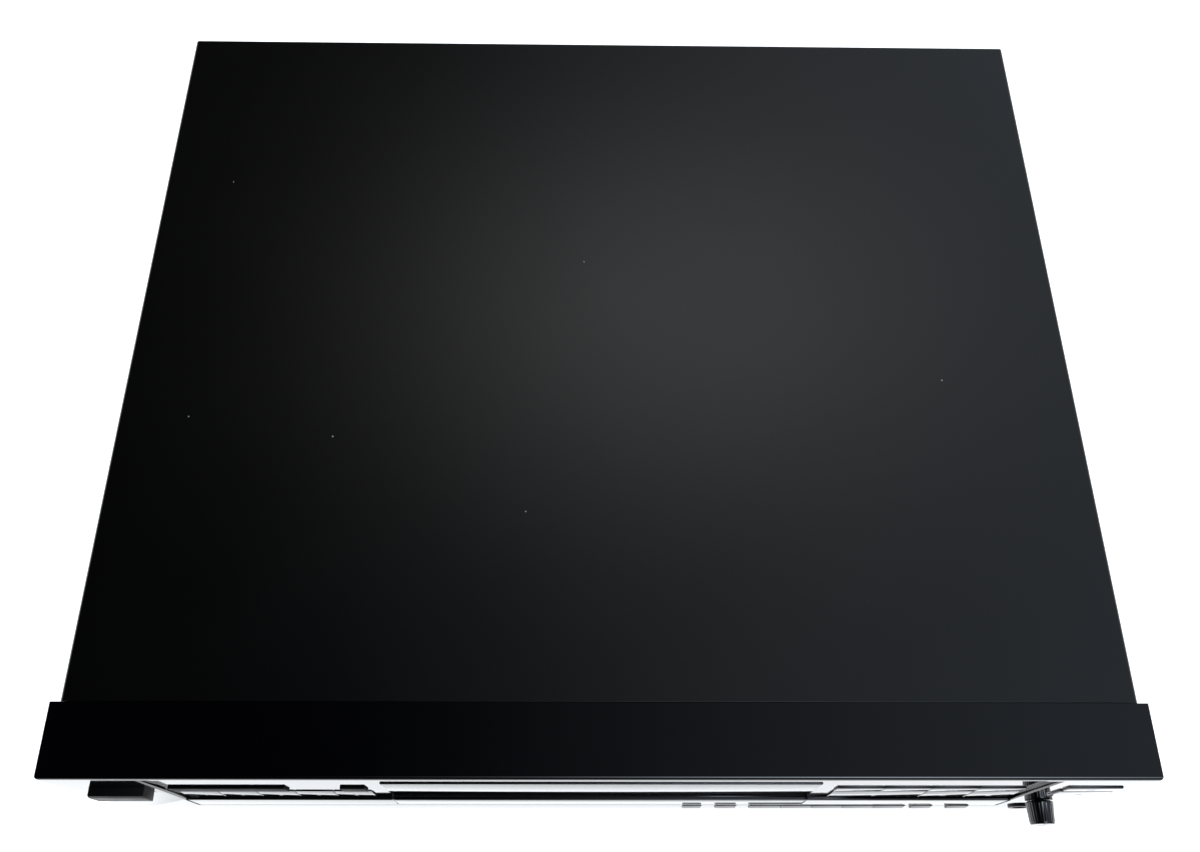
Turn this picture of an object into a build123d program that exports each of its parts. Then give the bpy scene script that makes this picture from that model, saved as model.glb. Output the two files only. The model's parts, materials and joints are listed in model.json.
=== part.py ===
from build123d import *
import os
from math import cos, pi, radians, sin, tan

os.makedirs("parts", exist_ok=True)

# Overall sizes. X runs to the right, Y to the back, Z up from the surface the feet stand on.
body_width = 430.0
body_depth = 371.0
body_height = 103.0
foot_height = 10.0

# Places on the outside that follow from the overall sizes
half_width = body_width / 2
front_y = -body_depth / 2
rear_y = body_depth / 2
base_z = foot_height
top_z = base_z + body_height

# Walls and general clearances
panel_wall = 2.8
sheet = 1.0
board_thickness = 1.6
slip_gap = 0.3
running_gap = 0.05

# Front panel housing
panel_depth = 29.2
panel_edge_radius = 1.5
panel_lip = 3.0
bottom_lip_depth = 6.0
recess_depth = 1.6
recess_half_width = 178.0

# Top cover and chassis
cover_inset = 3.0
cover_drop = 0.95
cover_bend = 2.0
cover_tongue = 9.0
seam_gap = 0.4

# Drawer, its opening in the panel and its runners
drawer_half_width = 169.0
drawer_wall = 2.0
drawer_floor = 2.0
drawer_height = 15.5
drawer_clear_below = 20.5
drawer_length = 334.0
drawer_travel = 240.0
drawer_front_height = 17.6
drawer_front_thickness = 3.5
plate_thickness = 0.9
drawer_front_drop = 0.5
insert_half_width = 89.5
insert_height = 13.4
insert_thickness = 1.6
runner_width = 11.0

# Carousel and its wells
disc_radius = 60.0
well_clearance = 0.6
well_circle_radius = 104.0
well_count = 5
carousel_radius = 163.0
carousel_thickness = 7.0
carousel_lift = 6.0
well_floor = 2.0
well_hole_radius = 19.0
carousel_set_back = 171.5
drum_radius = 36.0
pivot_radius = 8.0

# Gear trains
loading_module = 2.0
loading_teeth = 18
lift_module = 1.5
lift_teeth = 16
feed_module = 1.0
feed_teeth = 14
tooth_share = 0.42
belt_thickness = 1.2

# Mechanism deck
deck_wall = 2.5
deck_floor = 2.0
deck_front_set_back = 17.0
deck_rear_set_back = 354.0

# Optical unit, carried up under the disc in the play position
base_half_width = 37.5
base_height = 6.5
base_front_reach = 18.0
base_rear_reach = 73.0
base_floor_gap = 0.8
lift_travel = 20.0
pin_radius = 2.0
shaft_radius = 1.5
table_flange_radius = 15.0
clamp_gap = 1.6
pickup_inner = 23.0
pickup_travel = 35.0

# Keys
key_travel = 1.0
key_gap = 0.4
key_retainer = 0.8
switch_height = 3.0
board_set_back = 14.7
power_travel = 3.0

# Sizes that follow from the ones above
recess_wall_y = front_y + recess_depth
recess_back_y = recess_wall_y + panel_wall
outer_back_y = front_y + panel_wall
panel_rear_y = front_y + panel_depth
cover_half_width = half_width - cover_inset
cover_top_z = top_z - cover_drop
chassis_half_width = cover_half_width - sheet - 0.2
deck_z = base_z + sheet
drawer_z = deck_z + drawer_clear_below
drawer_top_z = drawer_z + drawer_height
drawer_front_z = drawer_z - drawer_front_drop
drawer_front_top_z = drawer_front_z + drawer_front_height
opening_z = drawer_front_z - 0.4
opening_top_z = drawer_front_top_z + 0.6
opening_half_width = recess_half_width + 0.7
drawer_y = front_y + drawer_front_thickness
drawer_rear_y = drawer_y + drawer_length
carousel_y = front_y + carousel_set_back
carousel_z = drawer_z + drawer_floor + carousel_lift
carousel_top_z = carousel_z + carousel_thickness
play_y = carousel_y + well_circle_radius
rail_x = drawer_half_width + 0.5
deck_half_width = rail_x + deck_wall
deck_front_y = front_y + deck_front_set_back
deck_rear_y = front_y + deck_rear_set_back
deck_top_z = drawer_top_z + 5.0
board_y = front_y + board_set_back
chassis_front_y = front_y + bottom_lip_depth + slip_gap
key_floor_z = opening_top_z + 5.3


# Straight-sided solid from its spans in x, y and z
def block(x, y, z, mode=Mode.ADD):
    with BuildSketch(Plane.XY.offset(z[0])) as outline:
        with Locations(((x[0] + x[1]) / 2, (y[0] + y[1]) / 2)):
            Rectangle(x[1] - x[0], y[1] - y[0])
    extrude(outline.sketch, amount=z[1] - z[0], mode=mode)


# Upright round solid, or hole, at x, y over a span in z
def upright(x, y, z, radius, mode=Mode.ADD):
    with BuildSketch(Plane.XY.offset(z[0])) as outline:
        with Locations((x, y)):
            Circle(radius)
    extrude(outline.sketch, amount=z[1] - z[0], mode=mode)


# Small eight-sided solid, or hole, on a plane: the screws' heads, shanks and holes, of which there are many
def small_round(plane, radius, amount, mode=Mode.ADD):
    with BuildSketch(plane) as outline:
        RegularPolygon(radius, 8)
    extrude(outline.sketch, amount=amount, mode=mode)


# Upright wheel with twenty-four flats, for hidden turned pieces that touch nothing round
def flat_sided(x, y, z, radius, mode=Mode.ADD):
    with BuildSketch(Plane.XY.offset(z[0])) as outline:
        with Locations((x, y)):
            RegularPolygon(radius, 24)
    extrude(outline.sketch, amount=z[1] - z[0], mode=mode)


# Round solid, or hole, along Y at x, z over a span in y
def barrel(x, z, y, radius, mode=Mode.ADD):
    with BuildSketch(Plane.XZ.offset(-y[0])) as outline:
        with Locations((x, z)):
            Circle(radius)
    extrude(outline.sketch, amount=y[0] - y[1], mode=mode)


# Corners of a gear's outline: straight-flanked teeth on a root circle, one tooth centred on the phase angle
def gear_corners(centre, module, teeth, phase):
    pitch_radius = module * teeth / 2
    thickness = 2 * pi / teeth * tooth_share
    flank = tan(radians(20)) * module / pitch_radius
    corners = []
    for tooth in range(teeth):
        middle = radians(phase) + 2 * pi * tooth / teeth
        for reach, half in (
            (-1.15, thickness / 2 + 1.15 * flank),
            (0.8, thickness / 2 - 0.8 * flank),
        ):
            corners.append((pitch_radius + reach * module, middle - half))
        for reach, half in (
            (0.8, thickness / 2 - 0.8 * flank),
            (-1.15, thickness / 2 + 1.15 * flank),
        ):
            corners.append((pitch_radius + reach * module, middle + half))
    return [(centre[0] + r * cos(a), centre[1] + r * sin(a)) for r, a in corners]


# Toothed wheel about a vertical axis over a span in z
def toothed_wheel(centre, module, teeth, phase, z):
    with BuildSketch(Plane.XY.offset(z[0])) as outline:
        Polygon(*gear_corners(centre, module, teeth, phase), align=None)
    extrude(outline.sketch, amount=z[1] - z[0])


# Straight toothed bar: its teeth point from the back line along the side direction, run along the other axis,
# and leave a gap centred on the place where the wheel's tooth meets it
def toothed_bar(mesh_at, pitch_line, back_line, module, span, z, along_x):
    pitch = pi * module
    side = 1 if pitch_line > back_line else -1
    flank = tan(radians(20)) * module
    half = pitch * tooth_share / 2
    first = int((span[0] - mesh_at) / pitch - 0.5)
    last = int((span[1] - mesh_at) / pitch - 0.5)
    corners = [(back_line, span[0])]
    corners.append((pitch_line - side * 1.15 * module, span[0]))
    for tooth in range(first, last + 1):
        middle = mesh_at + (tooth + 0.5) * pitch
        if middle - half - 1.2 * flank > span[0] and middle + half + 1.2 * flank < span[1]:
            corners.append((pitch_line - side * 1.15 * module, middle - half - 1.15 * flank))
            corners.append((pitch_line + side * 0.8 * module, middle - half + 0.8 * flank))
            corners.append((pitch_line + side * 0.8 * module, middle + half - 0.8 * flank))
            corners.append((pitch_line - side * 1.15 * module, middle + half + 1.15 * flank))
    corners.append((pitch_line - side * 1.15 * module, span[1]))
    corners.append((back_line, span[1]))
    if along_x:
        corners = [(b, a) for a, b in corners]
    with BuildSketch(Plane.XY.offset(z[0])) as outline:
        Polygon(*corners, align=None)
    extrude(outline.sketch, amount=z[1] - z[0])


# Flat belt round two pulleys of the given running radii
def belt_loop(first, first_radius, second, second_radius, z):
    start, end = Vector(*first), Vector(*second)
    with BuildSketch(Plane.XY.offset(z[0])) as loop:
        for extra, mode in ((belt_thickness, Mode.ADD), (0.0, Mode.SUBTRACT)):
            with BuildSketch(Plane.XY.offset(z[0]), mode=Mode.PRIVATE) as ends:
                with Locations((start.X, start.Y)):
                    RegularPolygon(first_radius + extra, 24, major_radius=False)
                with Locations((end.X, end.Y)):
                    RegularPolygon(second_radius + extra, 24, major_radius=False)
            add(make_hull(ends.sketch.edges(), mode=Mode.PRIVATE), mode=mode)
    extrude(loop.sketch, amount=z[1] - z[0])


# Front panel: a moulded housing, open at the back, with the recess, the drawer opening and the key holes
power_x = -(half_width - 22.0)
power_size = (22.0, 12.0)
power_z = base_z + 73.0
side_key_x = half_width - 18.2
side_key_width = 21.6
side_key_spans = ((base_z + 77.0, base_z + 84.6), (base_z + 60.3, base_z + 75.0))
knob_x = half_width - 23.0
knob_z = base_z + 36.0
jack_x = half_width - 25.5
jack_z = base_z + 19.0
jack_nose_radius = 5.0
pot_bush_radius = 4.6
window_half_width = 88.3
window_z = opening_top_z + 9.4
window_height = 33.8
disc_row = (-175.4, -95.4)
disc_row_height = 14.0
transport_row = (96.3, 174.1)
play_row = (96.9, 175.3)
play_row_height = 16.2
transport_z = key_floor_z + play_row_height + 2.0
transport_height = 8.4
small_key_z = base_z + 14.0
small_key_height = 5.6
small_keys = {
    "time_key": (37.4, 45.7),
    "fade_key": (52.1, 61.4),
    "program_key": (67.5, 81.3),
    "check_key": (81.6, 95.4),
    "clear_key": (95.7, 109.5),
    "shuffle_key": (109.8, 123.6),
    "repeat_key": (123.9, 137.7),
    "edit_key": (140.7, 150.0),
    "peak_key": (157.0, 166.4),
}
board_bosses = [(-100, top_z - 15), (0, top_z - 15), (100, top_z - 15)]
board_bosses += [(side * (half_width - 20), base_z + 49) for side in (-1, 1)]

with BuildPart() as front_panel:
    with BuildSketch(Plane.XZ.offset(-front_y)):
        with Locations((0, (base_z + top_z) / 2)):
            Rectangle(body_width, body_height)
    extrude(amount=-panel_depth)
    front_edges = front_panel.faces().sort_by(Axis.Y)[0].edges()
    fillet(front_edges, radius=panel_edge_radius)
    # Hollow from the back, with only a short lip left along the bottom
    inside = half_width - panel_wall
    block(
        (-inside, inside),
        (outer_back_y, panel_rear_y),
        (base_z + panel_wall, top_z - panel_wall),
        Mode.SUBTRACT,
    )
    block(
        (-inside, inside),
        (front_y + bottom_lip_depth, panel_rear_y),
        (base_z, base_z + panel_wall),
        Mode.SUBTRACT,
    )
    # Step back for the recess, which keeps the wall's thickness
    recess_outer = recess_half_width + panel_wall
    block(
        (-recess_outer, recess_outer),
        (outer_back_y, recess_back_y),
        (opening_top_z, top_z - panel_wall),
    )
    block(
        (-recess_half_width, recess_half_width),
        (front_y, recess_wall_y),
        (opening_top_z, top_z - panel_lip),
        Mode.SUBTRACT,
    )
    # Bosses that carry the control board
    for boss_x, boss_z in board_bosses:
        block((boss_x - 2.5, boss_x + 2.5), (outer_back_y, board_y), (boss_z - 2.5, boss_z + 2.5))
    # Openings
    block(
        (-opening_half_width, opening_half_width),
        (front_y, recess_back_y),
        (opening_z, opening_top_z),
        Mode.SUBTRACT,
    )
    window_cut = window_half_width + 0.15
    block(
        (-window_cut, window_cut),
        (recess_wall_y, recess_back_y),
        (window_z - 0.15, window_z + window_height + 0.15),
        Mode.SUBTRACT,
    )
    for row, z, height in (
        (disc_row, key_floor_z, disc_row_height),
        (play_row, key_floor_z, play_row_height),
        (transport_row, transport_z, transport_height),
    ):
        block(
            (row[0] - slip_gap, row[1] + slip_gap),
            (recess_wall_y, recess_back_y),
            (z - slip_gap, z + height + slip_gap),
            Mode.SUBTRACT,
        )
    for z_low, z_high in side_key_spans:
        block(
            (side_key_x - side_key_width / 2 - slip_gap, side_key_x + side_key_width / 2 + slip_gap),
            (front_y, outer_back_y),
            (z_low - slip_gap, z_high + slip_gap),
            Mode.SUBTRACT,
        )
    for span in (
        small_keys["time_key"],
        small_keys["fade_key"],
        (small_keys["program_key"][0], small_keys["repeat_key"][1]),
        small_keys["edit_key"],
        small_keys["peak_key"],
    ):
        block(
            (span[0] - slip_gap, span[1] + slip_gap),
            (front_y, outer_back_y),
            (small_key_z - slip_gap, small_key_z + small_key_height + slip_gap),
            Mode.SUBTRACT,
        )
    block(
        (power_x - power_size[0] / 2 - slip_gap, power_x + power_size[0] / 2 + slip_gap),
        (front_y, outer_back_y),
        (power_z - power_size[1] / 2 - slip_gap, power_z + power_size[1] / 2 + slip_gap),
        Mode.SUBTRACT,
    )
    barrel(knob_x, knob_z, (front_y, outer_back_y), pot_bush_radius + 0.15, Mode.SUBTRACT)
    barrel(jack_x, jack_z, (front_y, outer_back_y), jack_nose_radius + 0.15, Mode.SUBTRACT)
front_panel.part.label = "front_panel"
export_step(front_panel.part, "parts/front_panel.step")

# Display window: a smoked plate that stands a little proud of the recess, with a seat behind the wall
window_face_y = front_y + 1.0
with BuildPart() as display_window:
    block(
        (-window_half_width, window_half_width),
        (window_face_y, recess_back_y),
        (window_z, window_z + window_height),
    )
    window_rim = display_window.faces().sort_by(Axis.Y)[0].edges()
    chamfer(window_rim, length=0.3)
    block(
        (-window_half_width - 2.5, window_half_width + 2.5),
        (recess_back_y, recess_back_y + 1.0),
        (window_z - 1.0, window_z + window_height + 2.5),
    )
display_window.part.label = "display_window"
export_step(display_window.part, "parts/display_window.step")

# Trim plates: a long blank plate and a short sensor cover on the recess wall above the disc keys
plate_low_z = key_floor_z + disc_row_height + 2.6
plate_spans = ((disc_row[0] - 0.6, disc_row[0] + 46.6), (disc_row[1] - 11.0, disc_row[1] - 1.0))
with BuildPart() as trim_plates:
    for span in plate_spans:
        block(span, (recess_wall_y - plate_thickness, recess_wall_y), (plate_low_z, plate_low_z + 9.2))
    chamfer(trim_plates.faces().group_by(Axis.Y)[0].edges(), length=0.25)
trim_plates.part.label = "trim_plates"
export_step(trim_plates.part, "parts/trim_plates.step")


# Key: a cap with a sloping shoulder, a retainer behind the panel wall and a stem that reaches its switch
def make_key(name, x, z, face_y, shoulder, wall_y, target_y, travel):
    x_low, x_high = x
    z_low, z_high = z
    shoulder_drop, shoulder_depth = shoulder
    retainer_y = wall_y + slip_gap
    stem_end = target_y - switch_height - travel - 0.2
    middle_x = (x_low + x_high) / 2
    middle_z = (z_low + z_high) / 2
    with BuildPart() as key:
        with BuildSketch(Plane.YZ.offset(x_low)):
            with BuildLine():
                Polyline(
                    (retainer_y, z_low),
                    (face_y, z_low),
                    (face_y, z_high - shoulder_drop),
                    (face_y + shoulder_depth, z_high),
                    (retainer_y, z_high),
                    close=True,
                )
            make_face()
        extrude(amount=x_high - x_low)
        chamfer(key.faces().sort_by(Axis.Y)[0].edges().filter_by(Axis.Z), length=0.25)
        block((x_low, x_high), (retainer_y, retainer_y + 1.2), (z_low - key_retainer, z_high + key_retainer))
        block((middle_x - 1.5, middle_x + 1.5), (retainer_y, stem_end), (middle_z - 1.2, middle_z + 1.2))
    key.part.label = name
    export_step(key.part, f"parts/{name}.step")
    return middle_x, middle_z


# Splits a row into keys of equal width with a gap between neighbours
def row_spans(row, count):
    pitch = (row[1] - row[0]) / count
    return [(row[0] + i * pitch + key_gap / 2, row[0] + (i + 1) * pitch - key_gap / 2) for i in range(count)]


switch_places = []

# Five disc keys at the left
disc_key_face = front_y + 0.9
for number, span in enumerate(row_spans(disc_row, 5), 1):
    name = f"disc_key_{number}"
    rise = (key_floor_z, key_floor_z + disc_row_height)
    place = make_key(name, span, rise, disc_key_face, (6.0, 0.3), recess_back_y, board_y, key_travel)
    switch_places.append(place)

# Transport keys at the right: four above, and a wide play key with two narrow ones below
transport_face = front_y + 0.8
transport_names = ("search_back_key", "search_forward_key", "skip_back_key", "skip_forward_key")
for name, span in zip(transport_names, row_spans(transport_row, 4)):
    rise = (transport_z, transport_z + transport_height)
    place = make_key(name, span, rise, transport_face, (1.2, 0.25), recess_back_y, board_y, key_travel)
    switch_places.append(place)
play_quarters = row_spans(play_row, 4)
play_spans = {
    "play_key": (play_quarters[0][0], play_quarters[1][1]),
    "pause_key": play_quarters[2],
    "stop_key": play_quarters[3],
}
for name, span in play_spans.items():
    rise = (key_floor_z, key_floor_z + play_row_height)
    place = make_key(name, span, rise, transport_face, (7.0, 0.3), recess_back_y, board_y, key_travel)
    switch_places.append(place)

# Two keys at the far right, one over the other, standing out of the panel
side_key_span = (side_key_x - side_key_width / 2, side_key_x + side_key_width / 2)
for name, rise in zip(("disc_skip_key", "open_close_key"), side_key_spans):
    place = make_key(name, side_key_span, rise, front_y - 0.8, (1.2, 0.25), outer_back_y, board_y, key_travel)
    switch_places.append(place)

# Power button: a deeper key with a longer travel
power_span = (power_x - power_size[0] / 2, power_x + power_size[0] / 2)
power_rise = (power_z - power_size[1] / 2, power_z + power_size[1] / 2)
switch_places.append(
    make_key(
        "power_button", power_span, power_rise, front_y - 4.0, (2.0, 0.8), outer_back_y, board_y, power_travel
    )
)

# Nine small keys under the drawer
small_board_y = front_y + 12.0
small_places = []
for name, span in small_keys.items():
    rise = (small_key_z, small_key_z + small_key_height)
    place = make_key(name, span, rise, front_y - 1.3, (4.4, 1.1), outer_back_y, small_board_y, key_travel)
    small_places.append(place)

# Control boards: the key board, with the fluorescent display on it, and the strip board under the drawer
board_low_z = opening_top_z + 1.4
display_tube = (124.0, 24.0, 6.5)
with BuildPart() as control_boards:
    edge = half_width - 6.0
    block((-edge, edge), (board_y, board_y + board_thickness), (board_low_z, top_z - 6))
    for x, z in switch_places:
        block((x - 3, x + 3), (board_y - switch_height, board_y), (z - 3, z + 3))
    small_back = (small_board_y, small_board_y + board_thickness)
    block((small_places[0][0] - 12, small_places[-1][0] + 8), small_back, (base_z + 4, opening_z - 0.6))
    for x, z in small_places:
        block((x - 3, x + 3), (small_board_y - switch_height, small_board_y), (z - 3, z + 3))
    # Two brackets stand the strip board on the chassis floor
    for x in (small_places[0][0] - 10, small_places[-1][0] + 6):
        block((x - 1, x + 1), (chassis_front_y + sheet + 0.1, small_board_y), (deck_z, base_z + 12))
    # Flat glass envelope of the fluorescent display, behind the window
    tube_z = window_z + 6
    block(
        (-display_tube[0] / 2, display_tube[0] / 2),
        (board_y - display_tube[2], board_y),
        (tube_z, tube_z + display_tube[1]),
    )
control_boards.part.label = "control_boards"
export_step(control_boards.part, "parts/control_boards.step")

# Phones board: an upright board that carries the socket and the level control
jack_bore_radius = 3.2
jack_bore_length = 27.0
pot_shaft_radius = 3.0
with BuildPart() as phones_board:
    phones_board_y = front_y + 29.0
    jack_body = 7.6
    board_span = (phones_board_y, phones_board_y + board_thickness)
    block((jack_x - 12, jack_x + 17), board_span, (base_z + 5, base_z + 39))
    block(
        (jack_x - jack_body, jack_x + jack_body),
        (outer_back_y + slip_gap, phones_board_y),
        (jack_z - jack_body, jack_z + jack_body),
    )
    with BuildSketch(Plane.XZ.offset(-(front_y - 0.8))) as nose:
        with Locations((jack_x, jack_z)):
            RegularPolygon(jack_nose_radius, 24)
    extrude(nose.sketch, amount=-(panel_wall + slip_gap + 0.8))
    barrel(jack_x, jack_z, (front_y - 0.8, front_y - 0.8 + jack_bore_length), jack_bore_radius, Mode.SUBTRACT)
    with BuildSketch(Plane.XZ.offset(-(front_y + 0.4))) as bush:
        with Locations((knob_x, knob_z)):
            RegularPolygon(pot_bush_radius, 24)
    extrude(bush.sketch, amount=-(panel_wall + slip_gap - 0.4))
    block((knob_x - 6, knob_x + 6), (outer_back_y + slip_gap, phones_board_y), (knob_z - 6, knob_z + 4))
    barrel(knob_x, knob_z, (front_y + 0.4, front_y + 11), pot_shaft_radius + running_gap, Mode.SUBTRACT)
phones_board.part.label = "phones_board"
export_step(phones_board.part, "parts/phones_board.step")

# Level knob: a fluted, slightly tapered knob with a pointer groove, on the control's shaft
knob_radius = 5.8
knob_length = 9.8
knob_taper = 3.6
with BuildPart() as level_knob:
    with BuildSketch(Plane.XZ.offset(-(front_y - 0.4))) as knob_back:
        with Locations((knob_x, knob_z)):
            RegularPolygon(knob_radius, 24)
    extrude(knob_back.sketch, amount=knob_length - 0.4, taper=knob_taper)
    barrel(knob_x, knob_z, (front_y - 0.6, front_y + 10.6), pot_shaft_radius)
    block(
        (knob_x - 0.4, knob_x + 0.4),
        (front_y - knob_length, front_y - knob_length + 5),
        (knob_z + knob_radius - 2.2, knob_z + knob_radius),
        Mode.SUBTRACT,
    )
level_knob.part.label = "level_knob"
export_step(level_knob.part, "parts/level_knob.step")

# Bottom chassis: a folded sheet tray with vent slots and with screw holes in its side flanges
foot_inset = (47.0, 46.0)
foot_radius = 21.0
foot_taper = 8.5
side_flange = 12.0
screw_radius = 1.5
side_screw_ys = (front_y + 75.0, rear_y - 45.0)
side_screw_z = base_z + 7.0
with BuildPart() as bottom_chassis:
    with BuildSketch(Plane.XZ.offset(-chassis_front_y)):
        with BuildLine():
            Polyline(
                (-chassis_half_width, base_z + side_flange),
                (-chassis_half_width, base_z),
                (chassis_half_width, base_z),
                (chassis_half_width, base_z + side_flange),
                (chassis_half_width - sheet, base_z + side_flange),
                (chassis_half_width - sheet, base_z + sheet),
                (-chassis_half_width + sheet, base_z + sheet),
                (-chassis_half_width + sheet, base_z + side_flange),
                close=True,
            )
        make_face()
    extrude(amount=-(rear_y - chassis_front_y))
    front_flange = (chassis_front_y, chassis_front_y + sheet)
    block((-chassis_half_width, chassis_half_width), front_flange, (base_z, base_z + 8))
    # Vent slots under the transformer and in the middle
    slot_y = rear_y - 90.0
    with BuildSketch(Plane.XY.offset(base_z)) as vents:
        for x in (-(half_width - 28), 90):
            with Locations((x, slot_y)):
                with GridLocations(0, 7, 1, 6):
                    Rectangle(26, 3)
    extrude(vents.sketch, amount=sheet, mode=Mode.SUBTRACT)
    for side in (-1, 1):
        for y in side_screw_ys:
            outside = Plane((side * (chassis_half_width + 0.5), y, side_screw_z), z_dir=(side, 0, 0))
            small_round(outside, screw_radius + 0.2, -2.5, Mode.SUBTRACT)
bottom_chassis.part.label = "bottom_chassis"
export_step(bottom_chassis.part, "parts/bottom_chassis.step")

# Feet: four tapered rings with twenty-four flats and a hollow underside
foot_places = [
    (side * (half_width - foot_inset[0]), y)
    for side in (-1, 1)
    for y in (front_y + foot_inset[1], rear_y - foot_inset[1])
]
with BuildPart() as feet:
    with BuildSketch(Plane.XY.offset(base_z)) as foot_tops:
        with Locations(*foot_places):
            RegularPolygon(foot_radius, 24)
    extrude(foot_tops.sketch, amount=-foot_height, taper=foot_taper)
    for x, y in foot_places:
        flat_sided(x, y, (0, 4), foot_radius - 7, Mode.SUBTRACT)
feet.part.label = "feet"
export_step(feet.part, "parts/feet.step")

# Top cover: one folded sheet with rounded bends, and a stepped tongue that tucks under the front panel
cover_front_y = panel_rear_y + seam_gap
cover_rear_y = rear_y
cover_low_z = base_z + 0.6
with BuildPart() as top_cover:
    with BuildSketch(Plane.XZ.offset(-cover_front_y)):
        with BuildLine():
            FilletPolyline(
                (-cover_half_width, cover_low_z),
                (-cover_half_width, cover_top_z),
                (cover_half_width, cover_top_z),
                (cover_half_width, cover_low_z),
                radius=cover_bend,
            )
            Line((cover_half_width, cover_low_z), (cover_half_width - sheet, cover_low_z))
            FilletPolyline(
                (cover_half_width - sheet, cover_low_z),
                (cover_half_width - sheet, cover_top_z - sheet),
                (-cover_half_width + sheet, cover_top_z - sheet),
                (-cover_half_width + sheet, cover_low_z),
                radius=cover_bend - sheet,
            )
            Line((-cover_half_width + sheet, cover_low_z), (-cover_half_width, cover_low_z))
        make_face()
    extrude(amount=-(cover_rear_y - cover_front_y))
    # Tongue: down behind the seam, then forward under the panel's top flange
    tongue_half = cover_half_width - 12
    tongue_top = top_z - panel_wall - slip_gap
    tongue_x = (-tongue_half, tongue_half)
    block(tongue_x, (cover_front_y, cover_front_y + sheet), (tongue_top - sheet, cover_top_z))
    block(tongue_x, (cover_front_y - cover_tongue, cover_front_y), (tongue_top - sheet, tongue_top))
    for side in (-1, 1):
        for y in side_screw_ys:
            outside = Plane((side * (cover_half_width + 0.5), y, side_screw_z), z_dir=(side, 0, 0))
            small_round(outside, screw_radius + 0.2, -2.5, Mode.SUBTRACT)
top_cover.part.label = "top_cover"
export_step(top_cover.part, "parts/top_cover.step")

# Rear panel: a sheet with openings for the inlet and the sockets, and a row of vent slots
rear_sheet_y = rear_y - sheet
inlet_x = -(half_width - 65.0)
inlet_z = base_z + 25.0
socket_x = half_width - 75.0
socket_pitch = 15.0
socket_z = base_z + 62.0
socket_radius = 4.2
socket_reach = 9.8
rear_low_z = base_z + sheet
rear_top_z = cover_top_z - sheet - 0.3
rear_screws = [(-(half_width - 30), rear_top_z - 8), (0, rear_top_z - 8), (half_width - 30, rear_top_z - 8)]
with BuildPart() as rear_panel:
    rear_half_width = chassis_half_width - sheet - 0.1
    block((-rear_half_width, rear_half_width), (rear_sheet_y, rear_y), (rear_low_z, rear_top_z))
    block(
        (inlet_x - 11.3, inlet_x + 11.3),
        (rear_sheet_y, rear_y),
        (inlet_z - 7.3, inlet_z + 7.3),
        Mode.SUBTRACT,
    )
    for i in (-0.5, 0.5):
        hole_x = socket_x + i * socket_pitch
        barrel(hole_x, socket_z, (rear_sheet_y, rear_y), socket_radius + 1.0, Mode.SUBTRACT)
    for x, z in rear_screws:
        small_round(Plane((x, rear_y, z), z_dir=(0, 1, 0)), screw_radius + 0.2, -sheet, Mode.SUBTRACT)
    with BuildSketch(Plane.XZ.offset(-rear_y)) as vents:
        with Locations((-60, base_z + 75)):
            with GridLocations(9, 0, 8, 1):
                Rectangle(3, 16)
    extrude(vents.sketch, amount=sheet, both=True, mode=Mode.SUBTRACT)
    # Folded bottom flange that lies on the chassis floor
    flange_half = chassis_half_width - 14
    block((-flange_half, flange_half), (rear_sheet_y - 9, rear_sheet_y), (rear_low_z, rear_low_z + sheet))
    # Folded tabs that take the cover's rear screws
    for x, z in rear_screws:
        block((x - 6, x + 6), (rear_sheet_y - 7, rear_sheet_y), (rear_top_z - sheet, rear_top_z))
rear_panel.part.label = "rear_panel"
export_step(rear_panel.part, "parts/rear_panel.step")


# Pan-head screw along a direction: head outside, shank through the hole
def pan_head_screw(plane, shank):
    small_round(plane, 3.6, 1.4)
    small_round(plane, screw_radius, -shank)


# Cover screws: two in each side and three in the back
with BuildPart() as cover_screws:
    for side in (-1, 1):
        for y in side_screw_ys:
            pan_head_screw(Plane((side * cover_half_width, y, side_screw_z), z_dir=(side, 0, 0)), 6.0)
    for x, z in rear_screws:
        pan_head_screw(Plane((x, rear_y, z), z_dir=(0, 1, 0)), 6.0)
cover_screws.part.label = "cover_screws"
export_step(cover_screws.part, "parts/cover_screws.step")

# Mains inlet: a flat two-pin inlet with its pins inside a figure-eight mouth
inlet_flange = 1.5
with BuildPart() as mains_inlet:
    with BuildSketch(Plane.XZ.offset(-(rear_y + inlet_flange))):
        with Locations((inlet_x, inlet_z)):
            Rectangle(27, 19)
    extrude(amount=inlet_flange)
    block((inlet_x - 11, inlet_x + 11), (rear_y - 15.5, rear_y), (inlet_z - 7, inlet_z + 7))
    with BuildSketch(Plane.XZ.offset(-(rear_y + inlet_flange))) as mouth:
        with Locations((inlet_x, inlet_z)):
            SlotCenterToCenter(8.4, 8.4)
    extrude(mouth.sketch, amount=14, mode=Mode.SUBTRACT)
    for side in (-1, 1):
        small_round(Plane((inlet_x + side * 4.3, rear_y - 13, inlet_z), z_dir=(0, 1, 0)), 1.2, 12)
mains_inlet.part.label = "mains_inlet"
export_step(mains_inlet.part, "parts/mains_inlet.step")

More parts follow.
